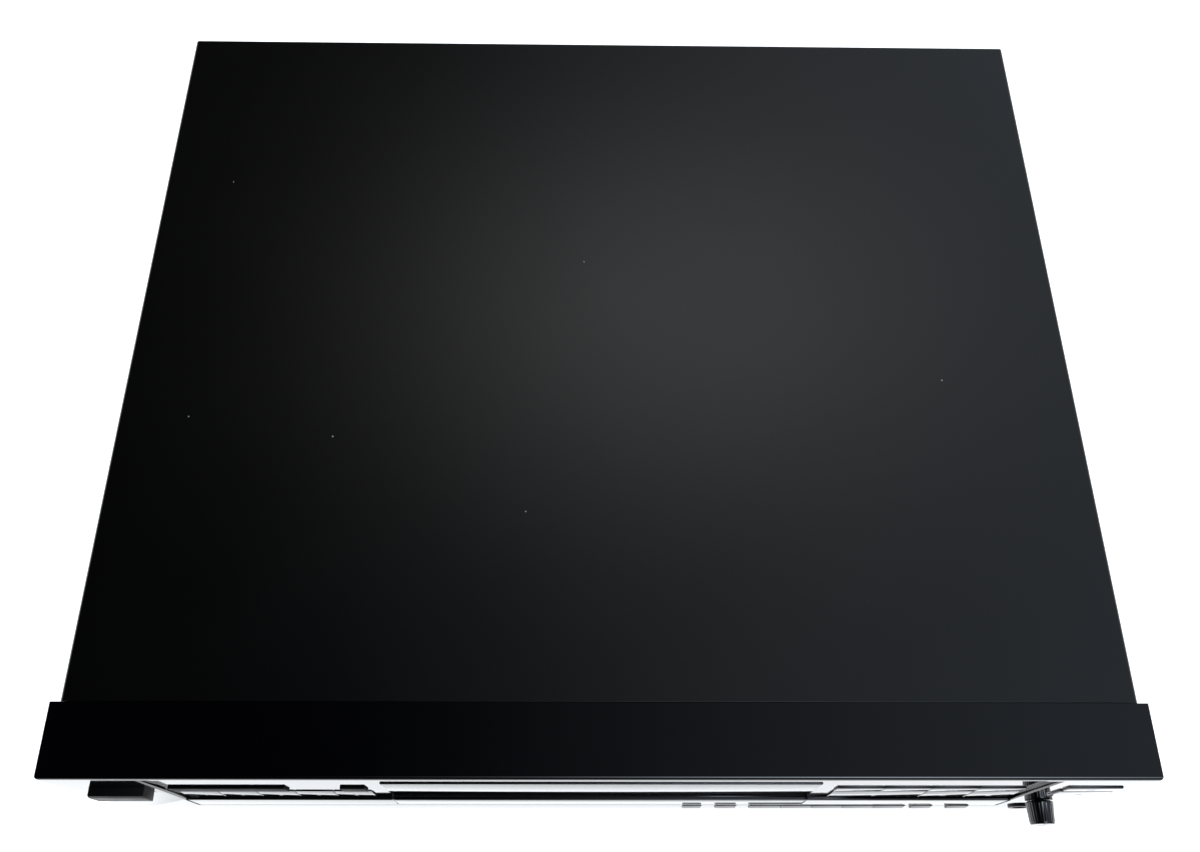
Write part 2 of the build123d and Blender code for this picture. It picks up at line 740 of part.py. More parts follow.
# Transformer: a laminated core round a wound bobbin, on a foot bracket in the left channel
transformer_x = -(deck_half_width + 18.5)
transformer_y = rear_y - 95.0
core_size = (26.0, 58.0, 46.0)
with BuildPart() as transformer:
    core_z = deck_z + 1.2
    core_x = (transformer_x - core_size[0] / 2, transformer_x + core_size[0] / 2)
    core_y = (transformer_y - core_size[1] / 2, transformer_y + core_size[1] / 2)
    block((core_x[0] - 2, core_x[1] + 2), (core_y[0] - 9, core_y[1] + 9), (deck_z, core_z))
    block(core_x, core_y, (core_z, core_z + core_size[2]))
    with BuildSketch(Plane.YZ.offset(core_x[0])) as windows:
        for side in (-1, 1):
            with Locations((transformer_y + side * 14.5, core_z + core_size[2] / 2)):
                Rectangle(10, 27)
    extrude(windows.sketch, amount=core_size[0], mode=Mode.SUBTRACT)
    with BuildSketch(Plane.XY.offset(core_z + 11)) as coil:
        with Locations((transformer_x, transformer_y)):
            RectangleRounded(32, 36, 6)
    extrude(coil.sketch, amount=24)
transformer.part.label = "transformer"
export_step(transformer.part, "parts/transformer.step")

# Mechanism deck: a moulded frame with the drawer's side rails, cross walls and the guides of the optical unit
guide_x = base_half_width + 0.5
guide_top_z = drawer_z - 0.5
cross_top_z = drawer_z - 4.7
lift_gear_radius = lift_module * lift_teeth / 2
base_front_y = play_y - base_front_reach
base_rear_y = play_y + base_rear_reach
slider_y = base_front_y - 5.5
slider_thickness = 3.0
lift_rack_y = slider_y - 22.0
lift_gear_y = lift_rack_y - lift_gear_radius
loading_radius = loading_module * loading_teeth / 2
rack_line_x = drawer_half_width - 21.0
loading_x = rack_line_x - loading_radius
loading_y = front_y + 40.5
loading_motor_x = loading_x - 52.0
post_radius = 2.0
gear_low_z = drawer_z + 0.1
gear_top_z = drawer_z + 3.1
with BuildPart() as mech_deck:
    for side in (-1, 1):
        # Side rail: wall, runner under the drawer and lip over its side
        with BuildSketch(Plane.XZ.offset(-deck_front_y)) as rail:
            with BuildLine():
                Polyline(
                    (side * rail_x, deck_z),
                    (side * deck_half_width, deck_z),
                    (side * deck_half_width, deck_top_z),
                    (side * rail_x, deck_top_z),
                    (side * rail_x, drawer_top_z + 2.4),
                    (side * (rail_x - 4), drawer_top_z + 2.4),
                    (side * (rail_x - 4), drawer_top_z + 0.4),
                    (side * rail_x, drawer_top_z + 0.4),
                    (side * rail_x, drawer_z - slip_gap),
                    (side * (rail_x - runner_width), drawer_z - slip_gap),
                    (side * (rail_x - runner_width), drawer_z - slip_gap - deck_wall),
                    (side * rail_x, drawer_z - slip_gap - deck_wall),
                    close=True,
                )
            make_face()
        extrude(rail.sketch, amount=-(deck_rear_y - deck_front_y))
        # Guide wall beside the optical unit, from the middle cross wall to the rear wall
        guide = sorted((side * guide_x, side * (guide_x + deck_wall)))
        block(guide, (lift_gear_y - 16, deck_rear_y), (deck_z, guide_top_z))
    # Front tray, cross walls and rear wall
    tray_rear_y = front_y + 86.0
    block((-rail_x, rail_x), (deck_front_y, tray_rear_y), (deck_z, deck_z + deck_floor))
    block((-rail_x, rail_x), (deck_front_y, deck_front_y + deck_wall), (deck_z, cross_top_z - 0.5))
    block((-rail_x, rail_x), (tray_rear_y - deck_wall, tray_rear_y), (deck_z, cross_top_z))
    mid_y = lift_gear_y - 16
    block((-rail_x, rail_x), (mid_y, mid_y + deck_wall), (deck_z, cross_top_z))
    block((-rail_x, rail_x), (deck_rear_y - deck_wall, deck_rear_y), (deck_z, deck_top_z))
    block((-guide_x, guide_x), (mid_y, slider_y - 3.0), (deck_z, deck_z + sheet))
    # Long ribs tie the front tray to the middle cross wall
    for x in (-90, 90):
        block((x - 1.25, x + 1.25), (tray_rear_y, mid_y), (deck_z, cross_top_z))
    # Gear posts
    upright(loading_x, loading_y, (deck_z, gear_top_z + 0.8), post_radius)
    upright(0, lift_gear_y, (deck_z, deck_z + 4), post_radius)
    # Pillars that carry the front edge of the main board
    for x in (40, 150):
        block((x - 4, x + 4), (deck_rear_y - deck_wall - 5, deck_rear_y), (deck_top_z - 12, deck_top_z + 10))
mech_deck.part.label = "mech_deck"
export_step(mech_deck.part, "parts/mech_deck.step")

# Loading motor: a flat can on the front tray with the bush that carries its pulley's shaft
motor_radius = 12.2
pulley_z = drawer_z - 3.3
motor_shaft_radius = 1.0
can_low_z = deck_z + deck_floor
can_top_z = pulley_z - 0.8
with BuildPart() as loading_motor:
    bush_radius = motor_shaft_radius + running_gap
    flat_sided(loading_motor_x, loading_y, (can_low_z, can_top_z), motor_radius)
    upright(loading_motor_x, loading_y, (can_top_z - 5, can_top_z), bush_radius, Mode.SUBTRACT)
    # Ears screwed to the tray
    ear_x = (loading_motor_x - motor_radius - 7, loading_motor_x + motor_radius + 7)
    block(ear_x, (loading_y - 4, loading_y + 4), (can_low_z, can_low_z + 1.2))
loading_motor.part.label = "loading_motor"
export_step(loading_motor.part, "parts/loading_motor.step")


# Motor pulley with a flange under the belt, and the shaft it turns on
def motor_pulley(x, y, radius, z, shaft_z):
    flat_sided(x, y, (z[0], z[0] + 0.5), radius + 1.0)
    flat_sided(x, y, (z[0] + 0.5, z[1]), radius)
    upright(x, y, shaft_z, motor_shaft_radius)


motor_pulley_radius = 4.0
loading_pulley_radius = 15.0
with BuildPart() as loading_pulley:
    pulley_span = (pulley_z, pulley_z + 2.8)
    motor_pulley(loading_motor_x, loading_y, motor_pulley_radius, pulley_span, (can_top_z - 4, pulley_z))
loading_pulley.part.label = "loading_pulley"
export_step(loading_pulley.part, "parts/loading_pulley.step")

# Loading gear: a large flanged pulley and the gear that meshes with the drawer's rack, in one moulding
with BuildPart() as loading_gear:
    flat_sided(loading_x, loading_y, (deck_z + deck_floor + slip_gap, pulley_z), 4.5)
    flat_sided(loading_x, loading_y, (pulley_z, pulley_z + 0.5), loading_pulley_radius + 1.2)
    flat_sided(loading_x, loading_y, (pulley_z + 0.5, pulley_z + 2.8), loading_pulley_radius)
    flat_sided(loading_x, loading_y, (pulley_z + 2.8, gear_low_z), loading_radius / 2)
    toothed_wheel((loading_x, loading_y), loading_module, loading_teeth, 0, (gear_low_z, gear_top_z))
    upright(loading_x, loading_y, (deck_z, gear_top_z), post_radius + running_gap, Mode.SUBTRACT)
loading_gear.part.label = "loading_gear"
export_step(loading_gear.part, "parts/loading_gear.step")

with BuildPart() as loading_belt:
    belt_loop(
        (loading_motor_x, loading_y),
        motor_pulley_radius + 0.1,
        (loading_x, loading_y),
        loading_pulley_radius + 0.1,
        (pulley_z + 0.7, pulley_z + 2.1),
    )
loading_belt.part.label = "loading_belt"
export_step(loading_belt.part, "parts/loading_belt.step")

# Drawer: a shallow moulded tray with a round opening in its top skin, a slot at the back for the optical
# unit, a thrust ring and pivot for the carousel, and a rack along a slot that the loading gear runs in
slot_half_width = base_half_width + 2.5
slot_front_y = slider_y - 27.0
hub_low_z = carousel_z - 3.5
corner_x = -(drawer_half_width - 20.0)
corner_y = drawer_y + 20.0
with BuildPart() as drawer:
    block((-drawer_half_width, drawer_half_width), (drawer_y, drawer_rear_y), (drawer_z, drawer_top_z))
    fillet(drawer.edges().filter_by(Axis.Z), radius=3)
    inner = drawer_half_width - drawer_wall
    block(
        (-inner, inner),
        (drawer_y + drawer_wall, drawer_rear_y - drawer_wall),
        (drawer_z + drawer_floor, drawer_top_z - drawer_wall),
        Mode.SUBTRACT,
    )
    upright(0, carousel_y, (drawer_top_z - drawer_wall, drawer_top_z), carousel_radius + 2.2, Mode.SUBTRACT)
    block(
        (-slot_half_width, slot_half_width),
        (slot_front_y, drawer_rear_y),
        (drawer_z, drawer_top_z),
        Mode.SUBTRACT,
    )
    # Thrust ring and pivot
    upright(0, carousel_y, (drawer_z + drawer_floor, hub_low_z - slip_gap), 14.0)
    upright(0, carousel_y, (drawer_z + drawer_floor, carousel_top_z - 1.5), pivot_radius)
    # Slot and rack, cut long enough for the whole travel
    rack_slot_y = (loading_y - loading_radius - 3, loading_y + drawer_travel + loading_radius + 3)
    rack_slot_x = (loading_x - loading_radius - 2.2, rack_line_x + 2.0)
    block(rack_slot_x, rack_slot_y, (drawer_z, drawer_z + drawer_floor), Mode.SUBTRACT)
    rack_z = (drawer_z, gear_top_z + 0.2)
    toothed_bar(loading_y, rack_line_x, rack_line_x + 6, loading_module, rack_slot_y, rack_z, False)
drawer.part.label = "drawer"
export_step(drawer.part, "parts/drawer.step")

# Drawer front: a belt with rounded ends and a pocket for the glossy strip
pocket_z = drawer_front_top_z - insert_height
with BuildPart() as drawer_front:
    block(
        (-recess_half_width, recess_half_width),
        (front_y, front_y + drawer_front_thickness),
        (drawer_front_z, drawer_front_top_z),
    )
    fillet(drawer_front.faces().sort_by(Axis.Y)[0].edges(), radius=0.6)
    block(
        (-insert_half_width, insert_half_width),
        (front_y, front_y + insert_thickness),
        (pocket_z, drawer_front_top_z),
        Mode.SUBTRACT,
    )
drawer_front.part.label = "drawer_front"
export_step(drawer_front.part, "parts/drawer_front.step")

with BuildPart() as drawer_insert:
    block(
        (-insert_half_width + 0.1, insert_half_width - 0.1),
        (front_y, front_y + insert_thickness),
        (pocket_z + 0.1, drawer_front_top_z - 0.1),
    )
    chamfer(drawer_insert.faces().sort_by(Axis.Y)[0].edges(), length=0.3)
drawer_insert.part.label = "drawer_insert"
export_step(drawer_insert.part, "parts/drawer_insert.step")

# Carousel: a disc with five wells, each with a round-ended slot for the optical unit that runs out through
# the rim, and a belt drum beneath
well_radius = disc_radius + well_clearance
with BuildPart() as carousel:
    upright(0, carousel_y, (carousel_z, carousel_top_z), carousel_radius)
    with BuildSketch(Plane.XY.offset(carousel_z + well_floor)) as wells:
        with Locations((0, carousel_y)):
            with PolarLocations(well_circle_radius, well_count, start_angle=90):
                Circle(well_radius)
    extrude(wells.sketch, amount=carousel_thickness, mode=Mode.SUBTRACT)
    with BuildSketch(Plane.XY.offset(carousel_z)) as holes:
        with Locations((0, carousel_y)):
            with PolarLocations(well_circle_radius, well_count, start_angle=90):
                Circle(well_hole_radius)
            with PolarLocations(well_circle_radius + 50, well_count, start_angle=90):
                Rectangle(100, 2 * well_hole_radius)
    extrude(holes.sketch, amount=carousel_thickness, mode=Mode.SUBTRACT)
    # Drum for the belt, and the bore that turns on the drawer's pivot
    upright(0, carousel_y, (hub_low_z, carousel_z), drum_radius)
    upright(0, carousel_y, (hub_low_z, carousel_top_z), pivot_radius + running_gap, Mode.SUBTRACT)
carousel.part.label = "carousel"
export_step(carousel.part, "parts/carousel.step")

# Carousel motor: a flat can hung from the drawer's top skin in its front left corner, shaft down
belt_low_z = hub_low_z + 0.7
with BuildPart() as carousel_motor:
    flat_sided(corner_x, corner_y, (belt_low_z + 2.5, drawer_top_z - drawer_wall), 13.0)
    upright(corner_x, corner_y, (belt_low_z + 2.5, belt_low_z + 7.0), bush_radius, Mode.SUBTRACT)
carousel_motor.part.label = "carousel_motor"
export_step(carousel_motor.part, "parts/carousel_motor.step")

carousel_pulley_radius = 3.6
with BuildPart() as carousel_pulley:
    pulley_span = (belt_low_z - 0.6, belt_low_z + 2.1)
    shaft_span = (belt_low_z + 2.1, belt_low_z + 6.5)
    motor_pulley(corner_x, corner_y, carousel_pulley_radius, pulley_span, shaft_span)
carousel_pulley.part.label = "carousel_pulley"
export_step(carousel_pulley.part, "parts/carousel_pulley.step")

with BuildPart() as carousel_belt:
    belt_loop(
        (corner_x, corner_y),
        carousel_pulley_radius + 0.1,
        (0, carousel_y),
        drum_radius + 0.1,
        (belt_low_z, belt_low_z + 1.4),
    )
carousel_belt.part.label = "carousel_belt"
export_step(carousel_belt.part, "parts/carousel_belt.step")

# Optical base: a frame with the spindle motor on its front part, the pickup's opening behind it, the pocket
# and post of the feed gear, bores for the guide shaft and two pins that ride in the lift slider
base_low_z = deck_z + base_floor_gap
base_top_z = base_low_z + base_height
pin_z = base_low_z + 3.8
pin_xs = (-12.0, 10.0)
flange_top_z = carousel_top_z + 1.3 - lift_travel
motor_can_radius = 11.0
shaft_x = 13.0
shaft_z = base_low_z + 3.2
opening_front_y = play_y + 11.5
opening_rear_y = play_y + 70.0
feed_rack_x = -20.4
feed_radius = feed_module * feed_teeth / 2
feed_x = feed_rack_x - feed_radius
feed_y = play_y + 31.0
rack_front_y = play_y - 8.0
feed_floor_z = base_low_z + 1.5
with BuildPart() as optical_base:
    block((-base_half_width, base_half_width), (base_front_y, base_rear_y), (base_low_z, base_top_z))
    block((-19, 22), (opening_front_y, opening_rear_y), (base_low_z, base_top_z), Mode.SUBTRACT)
    block((-24, -17.5), (rack_front_y - 1, opening_rear_y), (feed_floor_z, base_top_z), Mode.SUBTRACT)
    flat_sided(feed_x, feed_y, (feed_floor_z, base_top_z), feed_radius + 1.4, Mode.SUBTRACT)
    upright(feed_x, feed_y, (base_low_z, feed_floor_z + 3.8), 1.2)
    flat_sided(0, play_y, (base_top_z, flange_top_z - 1.9), motor_can_radius)
    upright(0, play_y, (base_top_z, flange_top_z - 1.9), motor_shaft_radius + running_gap, Mode.SUBTRACT)
    shaft_span = (opening_front_y - 2, opening_rear_y + 2)
    barrel(shaft_x, shaft_z, shaft_span, shaft_radius + 0.02, Mode.SUBTRACT)
    for x in pin_xs:
        barrel(x, pin_z, (slider_y + 0.3, base_front_y), pin_radius)
optical_base.part.label = "optical_base"
export_step(optical_base.part, "parts/optical_base.step")

with BuildPart() as guide_shaft:
    barrel(shaft_x, shaft_z, (shaft_span[0] + 0.1, shaft_span[1] - 0.1), shaft_radius)
guide_shaft.part.label = "guide_shaft"
export_step(guide_shaft.part, "parts/guide_shaft.step")

# Disc table: flange, tapered centring boss, and the spindle in the motor's bush
boss_radius = 7.4
with BuildPart() as disc_table:
    upright(0, play_y, (base_top_z + 1, flange_top_z - 1.6), motor_shaft_radius)
    flat_sided(0, play_y, (flange_top_z - 1.6, flange_top_z), table_flange_radius)
    with BuildSketch(Plane.XY.offset(flange_top_z)) as boss:
        with Locations((0, play_y)):
            RegularPolygon(boss_radius, 24)
    extrude(boss.sketch, amount=2.2, taper=25)
disc_table.part.label = "disc_table"
export_step(disc_table.part, "parts/disc_table.step")

# Pickup: a sled on the guide shaft with a turret, its lens and the feed rack along its left side
lens_y = play_y + pickup_inner
turret_top_z = flange_top_z - 2.3
with BuildPart() as pickup:
    sled_y = (lens_y - 11, lens_y + 11)
    block((-16.5, 18.5), sled_y, (base_low_z + 0.7, base_low_z + 5.7))
    block((-12, 12), (lens_y - 10, lens_y + 10), (base_low_z + 5.7, turret_top_z))
    chamfer(pickup.faces().sort_by(Axis.Z)[-1].edges(), length=1.0)
    upright(0, lens_y, (turret_top_z, turret_top_z + 1.3), 3.6)
    toothed_bar(
        feed_y,
        feed_rack_x,
        -17.7,
        feed_module,
        (feed_y - pickup_travel - 3, feed_y + 2.9),
        (feed_floor_z + 0.3, feed_floor_z + 3.3),
        False,
    )
    block((-18.2, -16), (lens_y - 9, lens_y + 9), (feed_floor_z + 0.3, feed_floor_z + 3.3))
    barrel(shaft_x, shaft_z, sled_y, shaft_radius + running_gap, Mode.SUBTRACT)
pickup.part.label = "pickup"
export_step(pickup.part, "parts/pickup.step")

with BuildPart() as feed_gear:
    toothed_wheel((feed_x, feed_y), feed_module, feed_teeth, 0, (feed_floor_z + 0.3, feed_floor_z + 3.3))
    upright(feed_x, feed_y, (feed_floor_z, base_top_z), 1.2 + running_gap, Mode.SUBTRACT)
feed_gear.part.label = "feed_gear"
export_step(feed_gear.part, "parts/feed_gear.step")

# Lift slider: an upright plate with two slanting slots for the base's pins, on a foot with a rack in front
slider_low_z = deck_z + sheet + 0.2
slider_top_z = carousel_z - 0.5
slider_x = (-37.5, 17.0)
with BuildPart() as lift_slider:
    plate_y = (slider_y, slider_y + slider_thickness)
    block(slider_x, plate_y, (slider_low_z, slider_top_z))
    block(slider_x, (lift_rack_y + 3, plate_y[1]), (slider_low_z, slider_low_z + 2.0))
    rack_z = (slider_low_z, slider_low_z + 2.0)
    toothed_bar(0.0, lift_rack_y, lift_rack_y + 4, lift_module, slider_x, rack_z, True)
    slot_angle = 135.0
    slot_length = lift_travel * 2**0.5
    for x in pin_xs:
        with BuildSketch(Plane.XZ.offset(-plate_y[0])) as slot:
            with Locations((x - lift_travel / 2, pin_z + lift_travel / 2)):
                SlotCenterToCenter(slot_length, 2 * (pin_radius + 0.15), rotation=slot_angle)
        extrude(slot.sketch, amount=-slider_thickness, mode=Mode.SUBTRACT)
lift_slider.part.label = "lift_slider"
export_step(lift_slider.part, "parts/lift_slider.step")

with BuildPart() as lift_gear:
    toothed_wheel((0, lift_gear_y), lift_module, lift_teeth, 90, (slider_low_z, slider_low_z + 2.0))
    upright(0, lift_gear_y, (deck_z, slider_low_z + 2.0), post_radius + running_gap, Mode.SUBTRACT)
lift_gear.part.label = "lift_gear"
export_step(lift_gear.part, "parts/lift_gear.step")

# Clamp bridge: a pressed channel across the deck's side walls, with a hole for the clamper
bridge_half_depth = 16.0
clamp_neck_radius = 7.0
with BuildPart() as clamp_bridge:
    bridge_y = (play_y - bridge_half_depth, play_y + bridge_half_depth)
    with BuildSketch(Plane.YZ.offset(-deck_half_width)):
        with BuildLine():
            Polyline(
                (bridge_y[0], deck_top_z),
                (bridge_y[1], deck_top_z),
                (bridge_y[1], deck_top_z + 7),
                (bridge_y[1] - 1.2, deck_top_z + 7),
                (bridge_y[1] - 1.2, deck_top_z + 1.2),
                (bridge_y[0] + 1.2, deck_top_z + 1.2),
                (bridge_y[0] + 1.2, deck_top_z + 7),
                (bridge_y[0], deck_top_z + 7),
                close=True,
            )
        make_face()
    extrude(amount=2 * deck_half_width)
    upright(0, play_y, (deck_top_z, deck_top_z + 1.2), clamp_neck_radius + 1.0, Mode.SUBTRACT)
clamp_bridge.part.label = "clamp_bridge"
export_step(clamp_bridge.part, "parts/clamp_bridge.step")

# Clamper: a loose puck in the bridge, with a recess under it that takes the disc table's nose
clamp_pad_z = flange_top_z + lift_travel + clamp_gap
with BuildPart() as clamper:
    flat_sided(0, play_y, (clamp_pad_z, clamp_pad_z + 1.8), 14.0)
    upright(0, play_y, (clamp_pad_z + 1.8, deck_top_z + 1.4), clamp_neck_radius)
    flat_sided(0, play_y, (deck_top_z + 1.4, deck_top_z + 2.6), 11.0)
    flat_sided(0, play_y, (clamp_pad_z, clamp_pad_z + 1.0), boss_radius + 0.9, Mode.SUBTRACT)
clamper.part.label = "clamper"
export_step(clamper.part, "parts/clamper.step")

# Main board: behind the mechanism, on two deck pillars and two posts of its own, with its taller components
main_board_z = deck_top_z + 10
main_board_x = (25.0, chassis_half_width - 4)
main_board_y = (deck_rear_y - 22, rear_sheet_y - 1)
with BuildPart() as main_board:
    block(main_board_x, main_board_y, (main_board_z, main_board_z + board_thickness))
    board_top = main_board_z + board_thickness
    block((60, 84), (main_board_y[0] + 3, main_board_y[0] + 19), (board_top, board_top + 3))
    for x, radius, height in ((100, 6, 18), (118, 8, 22)):
        upright(x, main_board_y[0] + 11, (board_top, board_top + height), radius)
    # Posts at the outer end stand on the chassis floor
    for y in (main_board_y[0] + 5, main_board_y[1] - 12):
        block((main_board_x[1] - 9, main_board_x[1] - 3), (y - 3, y + 3), (deck_z, main_board_z))
main_board.part.label = "main_board"
export_step(main_board.part, "parts/main_board.step")

# Output sockets: two coaxial sockets in one block on the main board
with BuildPart() as output_sockets:
    block_z = (main_board_z + board_thickness, socket_z + 8)
    block((socket_x - 15, socket_x + 15), (rear_sheet_y - 12, rear_sheet_y), block_z)
    for i in (-0.5, 0.5):
        x = socket_x + i * socket_pitch
        barrel(x, socket_z, (rear_sheet_y, rear_y + socket_reach), socket_radius)
        small_round(Plane((x, rear_y - 4, socket_z), z_dir=(0, 1, 0)), 1.6, socket_reach + 4, Mode.SUBTRACT)
output_sockets.part.label = "output_sockets"
export_step(output_sockets.part, "parts/output_sockets.step")
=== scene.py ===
import json
import math

import bmesh
import bpy
import numpy as np
from mathutils import Matrix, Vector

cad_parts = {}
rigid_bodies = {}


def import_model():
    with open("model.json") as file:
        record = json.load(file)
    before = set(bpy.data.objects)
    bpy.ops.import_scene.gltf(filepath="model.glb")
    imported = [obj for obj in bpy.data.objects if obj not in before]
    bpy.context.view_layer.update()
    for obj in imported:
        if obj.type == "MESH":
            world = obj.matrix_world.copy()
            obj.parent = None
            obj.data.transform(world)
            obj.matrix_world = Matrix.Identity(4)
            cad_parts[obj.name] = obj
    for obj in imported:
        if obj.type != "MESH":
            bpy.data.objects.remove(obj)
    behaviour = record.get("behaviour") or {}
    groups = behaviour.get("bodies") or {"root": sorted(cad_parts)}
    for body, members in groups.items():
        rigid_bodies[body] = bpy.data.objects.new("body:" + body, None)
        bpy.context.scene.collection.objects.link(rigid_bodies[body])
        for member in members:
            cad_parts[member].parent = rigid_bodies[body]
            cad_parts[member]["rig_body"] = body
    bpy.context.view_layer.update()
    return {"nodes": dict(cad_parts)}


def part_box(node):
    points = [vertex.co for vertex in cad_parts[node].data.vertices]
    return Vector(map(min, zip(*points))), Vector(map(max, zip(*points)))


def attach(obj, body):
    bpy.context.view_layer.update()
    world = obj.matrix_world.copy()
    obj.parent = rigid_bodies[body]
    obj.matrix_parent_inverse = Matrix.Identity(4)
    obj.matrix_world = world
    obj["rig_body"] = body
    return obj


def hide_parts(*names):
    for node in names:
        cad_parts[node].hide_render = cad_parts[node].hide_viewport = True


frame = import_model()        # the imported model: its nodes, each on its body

mm = 0.001
nodes = frame["nodes"]
print("frame loaded:", len(nodes), "nodes")


# sRGB hex to the linear values that a shader socket takes
def linear(hexColour):
    parts = [int(hexColour[i:i + 2], 16) / 255 for i in (1, 3, 5)]
    return [p / 12.92 if p <= 0.04045 else ((p + 0.055) / 1.055) ** 2.4 for p in parts] + [1.0]


# One shader node with its settings: sockets by name or number, else properties. A value that is an output of another
# node is linked. Gives the node's outputs.
def addNode(tree, kind, settings=None):
    node = tree.nodes.new("ShaderNode" + kind)
    for key, value in (settings or {}).items():
        if isinstance(value, bpy.types.NodeSocket):
            tree.links.new(value, node.inputs[key])
        elif isinstance(key, int) or key in node.inputs:
            node.inputs[key].default_value = value
        else:
            setattr(node, key, value)
    return node.outputs


# what all finishes share: detail of the two noises, the part of the mottle that gloss follows, strength of the relief
common = {"mottleDetail": 3.0, "grainDetail": 2.0, "mottleLow": 0.3, "mottleHigh": 0.7, "relief": 0.3}


# A surface with mottled colour, uneven gloss and a fine grain, all from real sizes in millimetres. A pattern may
# change the colour, gloss and height that go into the shader.
def finish(name, first, second, mottleMm, grainMm, rough, reliefMm, more=None, pattern=None):
    more = more or {}
    material = bpy.data.materials.new(name)
    material.use_nodes = True
    tree = material.node_tree
    tree.nodes.clear()
    where = addNode(tree, "TexCoord")["Object"]
    if "stretch" in more:
        where = addNode(tree, "Mapping", {"Scale": more["stretch"], "Vector": where})[0]
    mottle, height = [
        addNode(tree, "TexNoise", {"Scale": 1000 / sizeMm, "Detail": detail, "Vector": where})[0]
        for sizeMm, detail in ((mottleMm, common["mottleDetail"]), (grainMm, common["grainDetail"]))
    ]
    colour = addNode(tree, "Mix", {"data_type": "RGBA", 0: mottle, 6: linear(first), 7: linear(second)})[2]
    gloss = addNode(
        tree, "MapRange",
        {"From Min": common["mottleLow"], "From Max": common["mottleHigh"], "To Min": rough[0], "To Max": rough[1],
         "Value": mottle},
    )[0]
    if pattern:
        colour, gloss, height = pattern(tree, where, colour, gloss, height)
    relief = addNode(tree, "Bump", {"Strength": common["relief"], "Distance": reliefMm * mm, "Height": height})[0]
    shader = addNode(
        tree, "BsdfPrincipled",
        {"Metallic": more.get("metal", 0.0), "IOR": more.get("ior", 1.5),
         "Transmission Weight": more.get("clear", 0.0), "Coat Weight": more.get("coat", 0.0),
         "Specular IOR Level": more.get("specular", 0.5), "Base Color": colour, "Roughness": gloss, "Normal": relief},
    )[0]
    addNode(tree, "OutputMaterial", {"Surface": shader})
    return material


# lone pale specks up to 0.7 mm across, at some of the points of a loose 22 mm grid
def dustSpecks(tree, where, colour, gloss, height):
    cells = addNode(tree, "TexVoronoi", {"Scale": 1000 / 22.0, "Vector": where})
    near = addNode(tree, "Math", {"operation": "LESS_THAN", 0: cells["Distance"], 1: 0.016})[0]
    picked = addNode(tree, "SeparateColor", {"Color": cells["Color"]})[0]
    few = addNode(tree, "Math", {"operation": "GREATER_THAN", 0: picked, 1: 0.45})[0]
    both = addNode(tree, "Math", {"operation": "MULTIPLY", 0: near, 1: few})[0]
    speck = addNode(tree, "Mix", {"data_type": "RGBA", 0: both, 6: colour, 7: linear("#7d8183")})[2]
    return speck, gloss, height


# crystals of the zinc coat, 5 mm across, each with its own shade and gloss
def zincSpangle(tree, where, colour, gloss, height):
    cells = addNode(tree, "TexVoronoi", {"Scale": 1000 / 5.0, "Vector": where})
    shade = addNode(tree, "SeparateColor", {"Color": cells["Color"]})
    spangle = addNode(tree, "Mix", {"data_type": "RGBA", 0: shade[0], 6: linear("#a9abad"), 7: linear("#c6c8ca")})[2]
    varied = addNode(tree, "MapRange", {"To Min": 0.26, "To Max": 0.42, "Value": shade[1]})[0]
    return spangle, varied, height


# stamped plates, drawn 2 mm apart so that they show, with varnish between: a wave's bands lie 0.314 of its size apart
def laminations(tree, where, colour, gloss, height):
    bands = addNode(tree, "TexWave", {"Scale": 1000 / 6.2832, "Distortion": 0.4, "Detail": 1.0, "Vector": where})[1]
    edge = addNode(tree, "Mix", {"data_type": "RGBA", 0: bands, 6: linear("#2c241d"), 7: linear("#6f675f")})[2]
    return edge, gloss, bands


# tracks under the lacquer of a phenolic board, about 2.5 mm apart
def copperTracks(tree, where, colour, gloss, height):
    tracks = addNode(
        tree, "TexBrick",
        {"Scale": 1000 / 5.0, "Mortar Size": 0.16, "Color1": linear("#7a4f22"), "Color2": linear("#84582a"),
         "Mortar": linear("#a8742f"), "Brick Width": 1.4, "Row Height": 0.5, "Vector": where},
    )
    return tracks[0], gloss, tracks[1]


# turns of copper wire seen through yellow tape, drawn 1.6 mm apart so that they show
def wovenTurns(tree, where, colour, gloss, height):
    bands = addNode(
        tree, "TexWave",
        {"bands_direction": "Z", "Scale": 1000 / 0.8 / 6.2832, "Distortion": 0.2, "Vector": where},
    )[1]
    tape = addNode(tree, "Mix", {"data_type": "RGBA", 0: bands, 6: linear("#a8832a"), 7: linear("#d2ad45")})[2]
    return tape, gloss, bands


